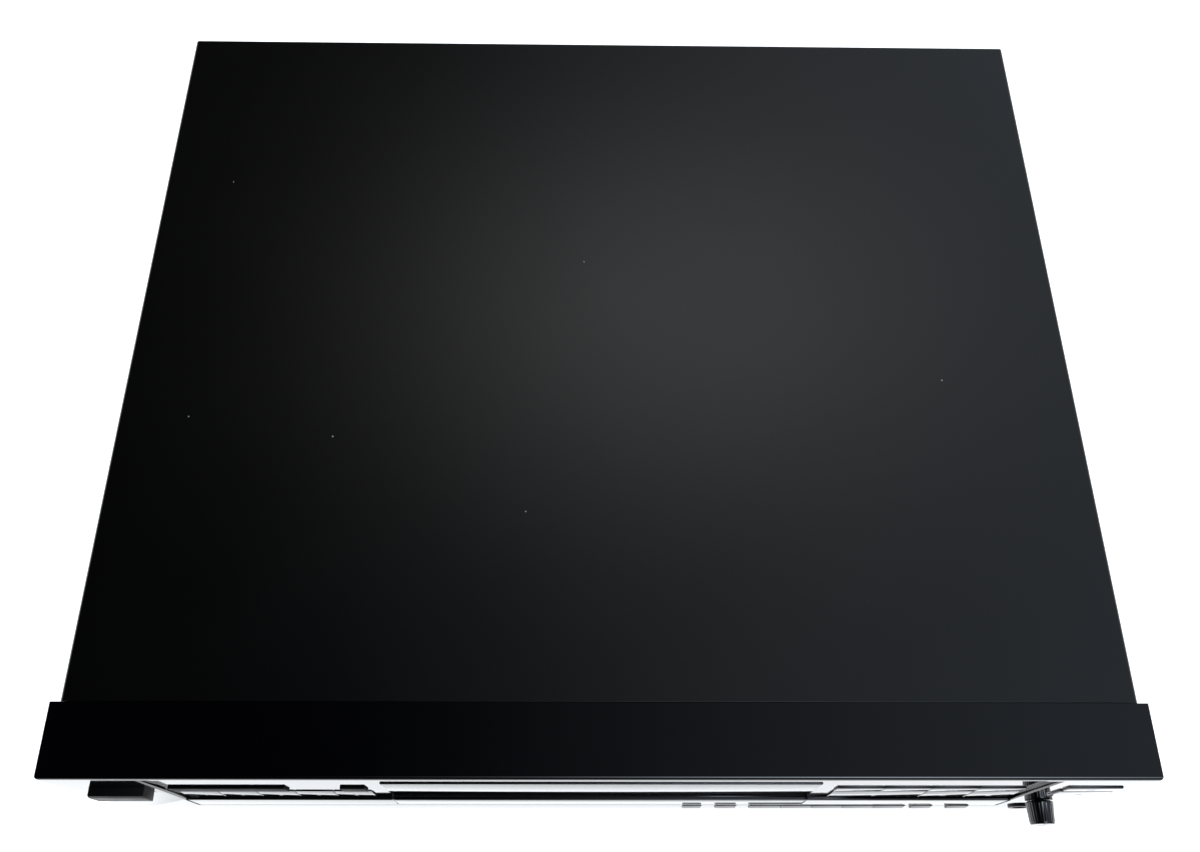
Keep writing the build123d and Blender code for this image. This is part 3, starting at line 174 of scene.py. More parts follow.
# name: two colours, mottle and grain in mm, roughness from and to, relief in mm, other inputs, pattern
finishes = {
    # steel sheet with baked satin black paint: a broad soft sheen, very fine orange peel, a little dust
    "satinCoverPaint": ("#010101", "#020202", 60, 0.7, (0.255, 0.27), 0.003, {}, dustSpecks),
    # injection-moulded ABS polished in the mould: nearly a mirror, with a slow waviness
    "glossPanelAbs": ("#010102", "#030304", 25, 9, (0.045, 0.075), 0.004),
    # smoked acrylic plate: clear, dark, polished
    "smokedAcrylic": ("#1b1a1f", "#211f25", 40, 15, (0.01, 0.03), 0.003, {"ior": 1.49, "clear": 0.9}),
    # black acrylic strip, polished
    "blackAcrylic": ("#030304", "#050506", 40, 12, (0.02, 0.04), 0.003, {"ior": 1.49}),
    # printed foil on the blank plates: matt, hardly any reflection
    "mattPlateFoil": ("#020202", "#040404", 12, 0.3, (0.55, 0.65), 0.01, {"specular": 0.06}),
    # moulded ABS with a fine spark grain, half gloss
    "keyAbs": ("#08080a", "#0d0d0f", 9, 0.5, (0.05, 0.08), 0.001),
    # the power button's cap: matt, with a lacquer that takes away most of its reflection
    "mattButtonAbs": ("#040404", "#070707", 6, 0.3, (0.4, 0.5), 0.006, {"specular": 0.1}),
    # zinc-coated steel sheet
    "zincSheet": ("#a9abad", "#c6c8ca", 12, 0.4, (0.3, 0.4), 0.004, {"metal": 1.0}, zincSpangle),
    # rear sheet with matt black paint
    "mattRearPaint": ("#0c0c0d", "#121213", 30, 0.5, (0.5, 0.6), 0.02),
    # screws with black oxide
    "blackOxideSteel": ("#1b1b1c", "#2a2a2b", 2, 0.3, (0.3, 0.45), 0.008, {"metal": 0.8}),
    # moulded ABS of the feet, grained
    "footAbs": ("#121213", "#19191a", 8, 0.5, (0.45, 0.55), 0.03),
    # rubber ring under a foot
    "footRubber": ("#151515", "#1f1e1d", 5, 0.4, (0.7, 0.85), 0.03),
    # drawer and carousel: ABS with a spark-eroded grain about 0.4 mm wide
    "trayAbs": ("#151516", "#1b1b1c", 20, 0.4, (0.42, 0.52), 0.03),
    # structural ABS of the deck and the optical base
    "deckAbs": ("#1d1e20", "#26272a", 16, 0.6, (0.45, 0.6), 0.025),
    # natural acetal: milky white, waxy
    "acetal": ("#d6d3c6", "#dedccf", 8, 0.8, (0.32, 0.42), 0.008, {"ior": 1.48}),
    # nickel-plated motor can, brushed round
    "motorCan": ("#b9b8b2", "#cfcec8", 4, 0.6, (0.22, 0.34), 0.006, {"metal": 1.0, "stretch": (1, 1, 12)}),
    # moulded rubber belt, faintly dusty
    "beltRubber": ("#101010", "#1b1a19", 4, 0.3, (0.6, 0.75), 0.02),
    # ground steel rod
    "groundSteel": ("#c9cacc", "#dcdddf", 3, 0.3, (0.1, 0.18), 0.002, {"metal": 1.0, "stretch": (1, 14, 1)}),
    # varnished core plates
    "corePlates": ("#3a3028", "#51463b", 6, 0.6, (0.4, 0.55), 0.08, {"metal": 0.5}, laminations),
    # tape over copper turns
    "coilTape": ("#b98f2e", "#c9a23c", 6, 0.8, (0.25, 0.4), 0.05, {}, wovenTurns),
    # single-sided phenolic board
    "phenolicBoard": ("#7a4f22", "#84582a", 10, 1.0, (0.35, 0.5), 0.03, {}, copperTracks),
    # moulded nylon of sockets and switches
    "blackNylon": ("#0f0f10", "#171718", 5, 0.4, (0.38, 0.5), 0.015, {"ior": 1.53}),
    "whiteNylon": ("#d9d7d1", "#e2e0da", 4, 0.4, (0.35, 0.45), 0.01, {"ior": 1.53}),
    "redNylon": ("#a81d18", "#b52822", 4, 0.4, (0.35, 0.45), 0.01, {"ior": 1.53}),
    # nickel-plated brass of the socket shells and pins
    "platedBrass": ("#c9b27a", "#dcc890", 3, 0.4, (0.16, 0.26), 0.004, {"metal": 1.0}),
    # pad print, pale
    "palePrint": ("#b6b8bb", "#c2c4c6", 3, 0.3, (0.45, 0.55), 0.004),
    # glass of the fluorescent display, with its grey phosphor behind
    "displayGlass": ("#20302d", "#283a36", 8, 3, (0.04, 0.08), 0.003, {"ior": 1.52}),
    "phosphor": ("#8fb3a6", "#9cc0b2", 2, 0.3, (0.5, 0.6), 0.005),
    # coated lens
    "coatedLens": ("#23304f", "#2c3b62", 3, 2, (0.01, 0.03), 0.001, {"ior": 1.52, "coat": 0.6}),
    # sleeve of a capacitor, and its pressed top
    "sleeveVinyl": ("#1c2233", "#232a3d", 5, 0.6, (0.25, 0.35), 0.01),
    "pressedAluminium": ("#b9bbbd", "#cdcfd1", 2, 0.4, (0.3, 0.4), 0.01, {"metal": 1.0}),
}
finishes = {name: finish(name, *recipe) for name, recipe in finishes.items()}
print("finishes ready:", len(finishes))


# quads between neighbours of a rows x columns grid of points, numbered row by row
def gridFaces(rows, columns, wrapRows=False, wrapColumns=False):
    i = np.arange(rows if wrapRows else rows - 1)
    j = np.arange(columns if wrapColumns else columns - 1)
    i, j = [a.ravel() for a in np.meshgrid(i, j, indexing="ij")]
    nextI, nextJ = (i + 1) % rows, (j + 1) % columns
    return np.stack([i * columns + j, i * columns + nextJ, nextI * columns + nextJ, nextI * columns + j], axis=1)


# one closed surface: its points, quads, rings of point numbers that get an end face, and its finish
def shell(points, faces, finishName, ends=()):
    return {"points": points, "faces": faces, "ends": [list(e) for e in ends], "finish": finishName}


# Surface of revolution: centre + radius x (cos a, sin a) across the axis + distance along it, for a profile of
# (radius, distance) in mm from end to end. ripple(angle, radius, distance) may change the radius.
def turned(profile, centre, axis, finishName, steps=48, closed=False, ripple=None):
    profile = np.asarray(profile, float)
    angle = np.arange(steps) * 2 * math.pi / steps
    radius = np.repeat(profile[:, :1], steps, axis=1)
    if ripple:
        radius = ripple(angle[None, :], radius, profile[:, 1:])
    along = np.array({"x": (1, 0, 0), "y": (0, 1, 0), "z": (0, 0, 1)}[axis], float)
    first = np.array({"x": (0, 1, 0), "y": (0, 0, 1), "z": (1, 0, 0)}[axis], float)
    second = np.cross(along, first)
    points = (
        np.asarray(centre, float)
        + radius[..., None] * (np.cos(angle)[:, None] * first + np.sin(angle)[:, None] * second)[None]
        + profile[:, 1, None, None] * along
    ).reshape(-1, 3)
    n = len(profile)
    ends = [] if closed else [range(steps), range((n - 1) * steps, n * steps)]
    return shell(points * mm, gridFaces(n, steps, wrapRows=closed, wrapColumns=True), finishName, ends)


# Box with rounded edges, in mm: core corner + radius x (cos v cos u, cos v sin u, sin v), where the core is the box
# less the radius all round, u goes round and v from bottom to top
def roundBlock(low, high, radius, finishName, arc=4):
    low, high = np.asarray(low, float) + radius, np.asarray(high, float) - radius
    u = np.concatenate([np.linspace(q, q + 1, arc + 1) for q in range(4)]) * math.pi / 2
    quarter = np.repeat(np.arange(4), arc + 1)
    cornerX = np.where((quarter == 0) | (quarter == 3), high[0], low[0])
    cornerY = np.where(quarter < 2, high[1], low[1])
    v = np.concatenate([np.linspace(-1, 0, arc + 1), np.linspace(0, 1, arc + 1)]) * math.pi / 2
    cornerZ = np.repeat([low[2], high[2]], arc + 1)
    points = np.stack(
        [
            cornerX[None] + radius * np.cos(v)[:, None] * np.cos(u)[None],
            cornerY[None] + radius * np.cos(v)[:, None] * np.sin(u)[None],
            np.repeat((cornerZ + radius * np.sin(v))[:, None], len(u), axis=1),
        ],
        axis=-1,
    ).reshape(-1, 3)
    corners = [arc // 2 + q * (arc + 1) for q in range(4)]
    last = (len(v) - 1) * len(u)
    ends = [corners, [last + c for c in corners]]
    return shell(points * mm, gridFaces(len(v), len(u), wrapColumns=True), finishName, ends)


# A closed outline in mm carried along an axis, with rounded end edges: near each end the outline is drawn in by
# edge x (1 - cos t) while it goes edge x sin t further
def carried(outline, axis, span, edge, finishName, steps=3):
    outline = np.asarray(outline, float)
    side = np.roll(outline, -1, axis=0) - outline
    side /= np.linalg.norm(side, axis=1)[:, None] + 1e-12
    area = np.sum(outline[:, 0] * np.roll(outline[:, 1], -1) - np.roll(outline[:, 0], -1) * outline[:, 1])
    out = np.stack([side[:, 1], -side[:, 0]], axis=1) * np.sign(area)
    before = np.roll(out, 1, axis=0)
    push = (out + before) / (1 + np.sum(out * before, axis=1))[:, None]
    t = np.linspace(0, math.pi / 2, steps + 1)
    inward = np.concatenate([edge * (1 - np.sin(t)), edge * (1 - np.cos(t))])
    where = np.concatenate([span[0] + edge * (1 - np.cos(t)), span[1] - edge * (1 - np.sin(t))])
    rings = outline[None] - inward[:, None, None] * push[None]
    flat = np.repeat(where[:, None], len(outline), axis=1)
    order = {"x": (flat, rings[..., 0], rings[..., 1]), "y": (rings[..., 0], flat, rings[..., 1]),
             "z": (rings[..., 0], rings[..., 1], flat)}[axis]
    n, m = len(where), len(outline)
    return shell(
        np.stack(order, axis=-1).reshape(-1, 3) * mm, gridFaces(n, m, wrapColumns=True), finishName,
        [range(m), range((n - 1) * m, n * m)],
    )


# Closed outline with each corner replaced by an arc that touches both its sides
def roundedLine(corners, radii, steps=4):
    points = []
    n = len(corners)
    for i in range(n):
        here = np.array(corners[i], float)
        back = np.array(corners[i - 1], float) - here
        ahead = np.array(corners[(i + 1) % n], float) - here
        back /= np.linalg.norm(back)
        ahead /= np.linalg.norm(ahead)
        if radii[i] <= 0:
            points.append(here)
            continue
        half = math.acos(max(-1, min(1, float(back @ ahead)))) / 2
        reach = radii[i] / math.tan(half)
        centre = here + (back + ahead) / np.linalg.norm(back + ahead) * radii[i] / math.sin(half)
        start, end = here + back * reach - centre, here + ahead * reach - centre
        turn = math.atan2(start[0] * end[1] - start[1] * end[0], float(start @ end))
        for t in np.linspace(0, turn, steps + 1):
            cos, sin = math.cos(t), math.sin(t)
            points.append(centre + [start[0] * cos - start[1] * sin, start[0] * sin + start[1] * cos])
    return np.array(points)


# Puts a mesh in the shot, smooth-shaded and on a node's body, and hides the node when it is replaced
def standIn(mesh, name, node, replaced, sharp):
    mesh.shade_smooth()
    mesh.set_sharp_from_angle(angle=math.radians(sharp))
    obj = bpy.data.objects.new(name, mesh)
    bpy.context.scene.collection.objects.link(obj)
    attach(obj, nodes[node]["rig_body"])
    if replaced:
        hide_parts(node)
    return obj


# metres within which points of a shell or of the CAD count as one; degrees up to which faces make one flat face, from
# which an edge is rounded, and from which it is drawn sharp
tolerance = {"doubled": 1e-7, "cadDoubled": 2e-6, "flat": 0.6, "edge": 40, "sharp": 32}


# Puts shells together in one mesh, merges their doubled points and turns their faces outwards. It rides with a node,
# has its finishes and stands for it unless replaced is off.
def piece(name, shells, node, replaced=True):
    mesh = bpy.data.meshes.new(name)
    points, faces, finishIndex, names = [], [], [], []
    start = 0
    for part in shells:
        if part["finish"] not in names:
            names.append(part["finish"])
        points.append(part["points"])
        found = (part["faces"] + start).tolist() + [[i + start for i in ring] for ring in part["ends"]]
        faces += found
        finishIndex += [names.index(part["finish"])] * len(found)
        start += len(part["points"])
    mesh.from_pydata(np.concatenate(points).tolist(), [], faces)
    mesh.polygons.foreach_set("material_index", finishIndex)
    for n in names:
        mesh.materials.append(finishes[n])
    work = bmesh.new()
    work.from_mesh(mesh)
    bmesh.ops.remove_doubles(work, verts=work.verts, dist=tolerance["doubled"])
    bmesh.ops.dissolve_degenerate(work, edges=work.edges, dist=tolerance["doubled"])
    bmesh.ops.recalc_face_normals(work, faces=work.faces)
    work.to_mesh(mesh)
    work.free()
    standIn(mesh, name, node, replaced, tolerance["sharp"])


# A copy of a CAD node with its points merged, its flat faces made whole and its outer edges rounded, to stand for it.
# Faces whose centres lie in a region (finish, low corner, high corner in mm) get that region's finish. A chamfer
# (test of an edge's two ends, width in mm) is cut first, and inner edges are rounded with it too.
def softened(node, name, finishName, edge=0.15, segments=1, regions=(), sharp=28, chamfer=None):
    mesh = nodes[node].data.copy()
    mesh.name = name
    work = bmesh.new()
    work.from_mesh(mesh)
    bmesh.ops.remove_doubles(work, verts=work.verts, dist=tolerance["cadDoubled"])
    bmesh.ops.dissolve_limit(
        work, angle_limit=math.radians(tolerance["flat"]), use_dissolve_boundaries=False, verts=work.verts,
        edges=work.edges,
    )
    if chamfer:
        chosen, width = chamfer
        edges = [e for e in work.edges if chosen(*[np.array(v.co) / mm for v in e.verts])]
        bmesh.ops.bevel(work, geom=edges, offset=width * mm, segments=1, affect="EDGES", clamp_overlap=True)
    weight = work.edges.layers.float.new("bevel_weight_edge")
    for e in work.edges:
        if (e.is_convex or chamfer) and e.calc_face_angle(0.0) > math.radians(tolerance["edge"]):
            e[weight] = 1.0
    work.to_mesh(mesh)
    work.free()
    mesh.materials.clear()
    mesh.materials.append(finishes[finishName])
    centres = np.empty(3 * len(mesh.polygons))
    mesh.polygons.foreach_get("center", centres)
    centres = centres.reshape(-1, 3) / mm
    index = np.zeros(len(centres), int)
    for number, (regionFinish, low, high) in enumerate(regions, 1):
        mesh.materials.append(finishes[regionFinish])
        index[np.all((centres >= low) & (centres <= high), axis=1)] = number
    mesh.polygons.foreach_set("material_index", index.astype(np.int32))
    obj = standIn(mesh, name, node, True, sharp)
    bevel = obj.modifiers.new("roundedEdges", "BEVEL")
    bevel.width = edge * mm
    bevel.segments = segments
    bevel.limit_method = "WEIGHT"
    bevel.harden_normals = True
    bevel.use_clamp_overlap = True


# a node's lowest and highest corner in mm
def boxMm(node):
    low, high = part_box(node)
    return np.array(low) / mm, np.array(high) / mm


# a node's points in mm
def pointsMm(node):
    mesh = nodes[node].data
    co = np.empty(3 * len(mesh.vertices))
    mesh.vertices.foreach_get("co", co)
    return co.reshape(-1, 3) / mm


# those of the points that lie where an axis has this value
def onPlane(points, axis, value, within=0.05):
    return points[np.abs(points[:, axis] - value) < within]


# middle of the box round some points
def middle(points):
    return (points.min(axis=0) + points.max(axis=0)) / 2


# name of the piece that stands for a node
def titleOf(node):
    return "".join(word.capitalize() for word in node.split("_"))


# Bars of a generic seven-bar digit in a plane, about (x, z): (low corner, high corner) of each bar. Its width is 0.52
# of its height.
def digitBars(digit, x, z, height, bar):
    w, h = height * 0.52, height
    spots = {
        "top": ((0, h - bar), (w, h)), "mid": ((0, (h - bar) / 2), (w, (h + bar) / 2)), "base": ((0, 0), (w, bar)),
        "upperRight": ((w - bar, h / 2), (w, h)), "lowerRight": ((w - bar, 0), (w, h / 2)),
        "upperLeft": ((0, h / 2), (bar, h)), "lowerLeft": ((0, 0), (bar, h / 2)),
    }
    lit = {
        1: "upperRight lowerRight", 2: "top upperRight mid lowerLeft base", 3: "top upperRight mid lowerRight base",
        4: "upperLeft mid upperRight lowerRight", 5: "top upperLeft mid lowerRight base",
        8: "top mid base upperLeft upperRight lowerLeft lowerRight",
    }[digit].split()
    return [[(x + a - w / 2, z + b - h / 2) for a, b in spots[name]] for name in lit]


# corners of a rectangle, round from its low corner
def rectangle(low, high):
    return [(low[0], low[1]), (high[0], low[1]), (high[0], high[1]), (low[0], high[1])]


panelLow = boxMm("front_panel")[0]
panelFront = panelLow[1]
rearY = boxMm("rear_panel")[1][1]
coverHigh = boxMm("top_cover")[1]
# the recess's ends: least height of their edges, their distance from the middle, tolerances and chamfer
recess = {"tall": 5.0, "between": (170, 190), "depth": 0.05, "same": 0.01, "chamfer": 1.4}


# upright edges of the shallow recess in the front face, at its two ends
def recessEnd(a, b):
    upright = np.all(np.abs(a - b)[:2] < recess["same"]) and abs(a[2] - b[2]) > recess["tall"]
    near, far = recess["between"]
    return upright and near < abs(a[0]) < far and a[1] < panelFront + recess["depth"]


softened("front_panel", "FrontHousing", "glossPanelAbs", 0.35, 3, chamfer=(recessEnd, recess["chamfer"]))
softened("bottom_chassis", "ChassisTray", "zincSheet")
softened("rear_panel", "RearSheet", "mattRearPaint")
softened("top_cover", "FoldedCover", "satinCoverPaint", 0.2, 2, sharp=40)
print("housings ready")

# window and the fluorescent tube behind it
window = {"edge": 0.4, "rim": 2.5, "rimThickness": 1.0, "rimEdge": 0.15, "lift": 1.0, "overlap": 0.2}
low, high = boxMm("display_window")
rim = window["rim"]
rimFront = high[1] - window["rimThickness"]
plateLow = [low[0] + rim, low[1], low[2] + window["lift"]]
plateHigh = [high[0] - rim, rimFront + window["overlap"], high[2] - rim]
piece(
    "SmokedWindow",
    [roundBlock(plateLow, plateHigh, window["edge"], "smokedAcrylic"),
     roundBlock([low[0], rimFront, low[2]], high, window["rimEdge"], "smokedAcrylic", 2)],
    "display_window",
)

# the tube's digits, placed in digit pitches from the middle, and a row of ticks, placed from its left and top edges
display = {
    "tubeReach": 63, "tubeAbove": 3, "tubeDepth": 6.4, "proud": 0.06, "sunk": 0.02, "edge": 0.01,
    "digits": (-4.6, -3.6, -1.4, -0.4, 1.8, 2.8, 4.6), "pitch": 9.5, "height": 11.0, "drop": 1.0, "bar": 1.0,
    "gap": 0.12, "ticks": 12, "tickLeft": 8.0, "tickPitch": 9.6, "tickWidth": 6.2, "tickSpan": (3.2, 1.8),
}
boards = pointsMm("control_boards")
boardsLow, boardsHigh = boards.min(axis=0) - 1, boards.max(axis=0) + 1
behindWindow = boards[
    (np.abs(boards[:, 0]) < display["tubeReach"]) & (boards[:, 2] > low[2] + display["tubeAbove"])
]
tubeFront = behindWindow[:, 1].min()
tube = onPlane(behindWindow, 1, tubeFront)
tubeLow, tubeHigh = tube.min(axis=0), tube.max(axis=0)
tubeBack = tubeFront + display["tubeDepth"]
softened(
    "control_boards", "ControlBoards", "phenolicBoard", 0.12, 1,
    [("blackNylon", (boardsLow[0], boardsLow[1], panelLow[2]), (boardsHigh[0], tubeBack, boardsHigh[2])),
     ("displayGlass", tubeLow - 0.1, [tubeHigh[0] + 0.1, tubeBack, tubeHigh[2] + 0.1])],
)
segments = []
digitZ = (tubeLow[2] + tubeHigh[2]) / 2 - display["drop"]
gap = display["gap"]
for spot in display["digits"]:
    for a, b in digitBars(8, spot * display["pitch"], digitZ, display["height"], display["bar"]):
        segments.append(rectangle((a[0] + gap, a[1] + gap), (b[0] - gap, b[1] - gap)))
tickLow, tickHigh = [tubeHigh[2] - below for below in display["tickSpan"]]
for n in range(display["ticks"]):
    x = tubeLow[0] + display["tickLeft"] + n * display["tickPitch"]
    segments.append(rectangle((x, tickLow), (x + display["tickWidth"], tickHigh)))
span = (tubeFront - display["proud"], tubeFront + display["sunk"])
shells = [carried(outline, "y", span, display["edge"], "phosphor", 1) for outline in segments]
piece("DisplaySegments", shells, "control_boards", False)

low, high = boxMm("trim_plates")
plateEnds = np.unique(np.round(pointsMm("trim_plates")[:, 0], 2))
secondPlate = len(plateEnds) // 2
piece(
    "TrimPlates",
    [roundBlock([a, low[1], low[2]], [b, high[1], high[2]], 0.2, "mattPlateFoil", 3)
     for a, b in ((low[0], plateEnds[secondPlate - 1]), (plateEnds[secondPlate], high[0]))],
    "trim_plates",
)

softened("drawer_front", "DrawerFront", "glossPanelAbs", 0.6, 3)
low, high = boxMm("drawer_insert")
strip = roundBlock(low, high, 0.5, "blackAcrylic")
piece("DrawerStrip", [strip], "drawer_insert")
print("window and drawer front ready")

# radii are those of the section's corners, from the lower front one round
key = {
    "edge": 0.3, "slope": 0.55, "radii": [0.25, 0.4, 0.25, 0.0, 0.0], "foot": 1.2, "stem": (3.0, 2.4),
    "stemInset": 1.0, "hiddenEdge": 0.1, "printHeight": 2.4, "printShare": 0.6, "printProud": 0.03,
    "printSunk": 0.05, "printEdge": 0.01,
}


# marks of the transport, generic and in a plane: outlines about (0, 0) for a height of 2
def arrow(x, way):
    return [(x - 0.8 * way, -1.0), (x + 0.8 * way, 0.0), (x - 0.8 * way, 1.0)]


marks = {
    "play_key": [arrow(0, 1)],
    "pause_key": [rectangle((-0.9, -1), (-0.3, 1)), rectangle((0.3, -1), (0.9, 1))],
    "stop_key": [rectangle((-0.9, -0.9), (0.9, 0.9))],
    "skip_back_key": [rectangle((-2.0, -1), (-1.6, 1)), arrow(-0.8, -1), arrow(0.8, -1)],
    "skip_forward_key": [arrow(-0.8, 1), arrow(0.8, 1), rectangle((1.6, -1), (2.0, 1))],
    "search_back_key": [arrow(-0.8, -1), arrow(0.8, -1)],
    "search_forward_key": [arrow(-0.8, 1), arrow(0.8, 1)],
    "open_close_key": [[(-1.1, -0.2), (1.1, -0.2), (0.0, 1.0)], rectangle((-1.1, -1.0), (1.1, -0.5))],
    "disc_skip_key": [arrow(-0.9, 1), arrow(0.6, 1)],
}
for n in range(1, 6):
    marks[f"disc_key_{n}"] = [rectangle(a, b) for a, b in digitBars(n, 0, 0, 2.0, 0.3)]


# Cap whose section in (y, z) has a sloping shoulder, with rounded corners; behind it the retainer and the stem
def keyCap(node):
    low, high = boxMm(node)
    co = pointsMm(node)
    depths = np.unique(np.round(co[:, 1], 3))
    footY = [y for y in depths if np.ptp(onPlane(co, 1, y, 0.01)[:, 2]) > high[2] - low[2] - 0.01][0]
    cap = co[co[:, 1] < footY - 0.05]
    capLow, capHigh = cap[:, 2].min(), cap[:, 2].max()
    shoulderZ = onPlane(co, 1, low[1], 0.02)[:, 2].max()
    shoulderY = onPlane(co, 2, capHigh, 0.01)[:, 1].min()
    tipY = max(low[1], shoulderY - key["slope"])
    outline = roundedLine(
        [(tipY, capLow), (tipY, shoulderZ), (shoulderY, capHigh), (footY, capHigh), (footY, capLow)], key["radii"]
    )
    middleX, middleZ = (low[0] + high[0]) / 2, (capLow + capHigh) / 2
    wide, tall = key["stem"]
    finishName = "mattButtonAbs" if node == "power_button" else "keyAbs"
    shells = [
        carried(outline, "x", (low[0], high[0]), key["edge"], finishName),
        roundBlock([low[0], footY, low[2]], [high[0], footY + key["foot"], high[2]], key["hiddenEdge"], finishName, 1),
        roundBlock([middleX - wide / 2, footY + key["stemInset"], middleZ - tall / 2],
                   [middleX + wide / 2, high[1], middleZ + tall / 2], key["hiddenEdge"], finishName, 1),
    ]
    size = min(key["printHeight"], (shoulderZ - capLow) * key["printShare"]) / 2
    markZ = (capLow + shoulderZ) / 2
    span = (tipY - key["printProud"], tipY + key["printSunk"])
    for outline in marks.get(node, []):
        moved = [(middleX + x * size, markZ + z * size) for x, z in outline]
        shells.append(carried(moved, "y", span, key["printEdge"], "palePrint", 1))
    return shells


keyNodes = sorted(n for n in nodes if n.endswith("_key") or n.startswith("disc_key_") or n == "power_button")
for node in keyNodes:
    piece(titleOf(node), keyCap(node), node)
print("keys ready:", len(keyNodes))

knob = {
    "ridges": 28, "ridgeDepth": 0.14, "steps": 224, "shaft": 3.0, "gap": 0.4, "gripFront": 0.9, "gripBack": 0.7,
    "pointerHalf": 0.4, "pointerFoot": 1.8, "pointerTop": 0.5, "pointerEdge": 0.05,
}
low, high = boxMm("level_knob")
knobX, knobZ = (low[0] + high[0]) / 2, (low[2] + high[2]) / 2
tip, root = low[1], panelFront - knob["gap"]
backRadius = (high[0] - low[0]) / 2
tipPoints = onPlane(pointsMm("level_knob"), 1, tip)
tipRadius = np.hypot(tipPoints[:, 0] - knobX, tipPoints[:, 2] - knobZ).max()
slope = (backRadius - tipRadius) / (root - tip)


# radius less a cosine with one wave for each ridge, on the grip only
def knurl(angle, radius, distance):
    grip = (distance > tip + knob["gripFront"]) & (distance < root - knob["gripBack"]) & (radius > tipRadius - 0.3)
    return radius - grip * knob["ridgeDepth"] * (0.5 - 0.5 * np.cos(knob["ridges"] * angle))


# (radius, y) from the dished tip to the shaft's end
knobProfile = [
    (0.0, tip + 0.25), (tipRadius * 0.6, tip + 0.2), (tipRadius - 1.0, tip + 0.06), (tipRadius - 0.6, tip),
    (tipRadius - 0.3, tip + 0.1), (tipRadius - 0.08, tip + 0.4), (tipRadius, tip + 0.85),
    (tipRadius + slope * 1.2, tip + 1.2), (backRadius - slope * 1.0, root - 1.0), (backRadius, root - 0.6),
    (backRadius, root - 0.2), (backRadius - 0.2, root), (knob["shaft"], root), (knob["shaft"], high[1]),
    (0.0, high[1]),
]
pointer = rectangle(
    (knobX - knob["pointerHalf"], knobZ + knob["pointerFoot"]),
    (knobX + knob["pointerHalf"], knobZ + tipRadius - knob["pointerTop"]),
)
piece(
    "LevelKnob",
    [turned(knobProfile, (knobX, 0, knobZ), "y", "keyAbs", knob["steps"], ripple=knurl),
     carried(pointer, "y", (tip - 0.02, tip + 0.4), knob["pointerEdge"], "palePrint")],
    "level_knob",
)

foot = {
    "steps": 72, "hollow": 14.0, "hollowTop": 4.0, "pit": 4.2, "pitTop": 5.4, "rubberDepth": 1.6,
    "rubberInner": 14.6, "rubberInset": 0.6, "rubberRadius": 0.4,
}
low, high = boxMm("feet")
co = pointsMm("feet")
first = co[(co[:, 0] < 0) & (co[:, 1] < 0)]
topRadius = np.ptp(first[:, 0]) / 2
footX, footY = low[0] + topRadius, low[1] + topRadius
bottom = onPlane(first, 2, 0.0, 0.01)
bottomRadius = np.hypot(bottom[:, 0] - footX, bottom[:, 1] - footY).max()
footTop, hollow, hollowTop = high[2], foot["hollow"], foot["hollowTop"]
# (radius, z) from the top, over a groove, down to the rim and up into the hollow
footProfile = [
    (0, footTop), (topRadius - 0.5, footTop), (topRadius, footTop - 0.4), (topRadius - 0.35, footTop - 3.0),
    (topRadius - 0.75, footTop - 3.3), (topRadius - 0.75, footTop - 3.8), (topRadius - 0.5, footTop - 4.1),
    (bottomRadius + 0.1, 1.0), (bottomRadius - 0.3, 0.6), (hollow + 0.3, 0.6), (hollow, 0.9),
    (hollow - 0.2, hollowTop - 0.4), (hollow - 1, hollowTop), (foot["pit"], hollowTop),
    (foot["pit"] - 0.6, foot["pitTop"]), (0, foot["pitTop"]),
]
rubber = rectangle((foot["rubberInner"], 0.0), (bottomRadius - foot["rubberInset"], foot["rubberDepth"]))
ring = roundedLine(rubber, [foot["rubberRadius"], foot["rubberRadius"], 0, 0], 3)
shells = []
for x in (footX, -footX):
    for y in (footY, -footY):
        shells.append(turned(footProfile, (x, y, 0), "z", "footAbs", foot["steps"]))
        shells.append(turned(ring, (x, y, 0), "z", "footRubber", foot["steps"], closed=True))
piece("Feet", shells, "feet")
print("knob and feet ready")

screw = {
    "head": 3.6, "height": 1.4, "drop": 0.45, "slot": 0.55, "slotFade": 0.15, "reach": 2.1, "reachFade": 0.3,
    "depth": 0.8, "shank": 1.5, "length": 6.0, "steps": 64, "middleWithin": 50,
}


# Pan head on a polar grid: height is a dome, less a cross-shaped pit whose arms fade at their ends
def screwHead(where, direction):
    steps, rim = screw["steps"], screw["head"]
    radius = np.concatenate([[0.0], np.linspace(0.2, rim - 0.4, 16), [rim - 0.15, rim - 0.02, rim, rim]])
    angle = np.arange(steps) * 2 * math.pi / steps
    r, a = np.meshgrid(radius, angle, indexing="ij")
    x, y = r * np.cos(a), r * np.sin(a)
    dome = screw["height"] * (1 - screw["drop"] * (r / screw["head"]) ** 3)
    arm = np.minimum(np.abs(x), np.abs(y))
    pit = np.clip((screw["slot"] - arm) / screw["slotFade"], 0, 1)
    pit *= np.clip((screw["reach"] - r) / screw["reachFade"], 0, 1)
    height = dome - screw["depth"] * pit
    height[-1] = 0.0
    along = np.array(direction, float)
    first = np.cross(along, [0.0, 0.0, 1.0])
    second = np.cross(along, first)
    points = np.asarray(where) + x[..., None] * first + y[..., None] * second + height[..., None] * along
    n = len(radius)
    faces = gridFaces(n, steps, wrapColumns=True)
    return shell(points.reshape(-1, 3) * mm, faces, "blackOxideSteel", [range((n - 1) * steps, n * steps)])


# head and shank of the screw whose head has these points, on a face across the axis that looks the given way
def coverScrew(head, axis, way, face):
    where = middle(head)
    where[axis] = face
    end = -way * screw["length"]
    shank = [(0, 0), (screw["shank"], 0), (screw["shank"], end), (0, end)]
    return [screwHead(where, way * np.eye(3)[axis]), turned(shank, where, "xyz"[axis], "blackOxideSteel", 24)]


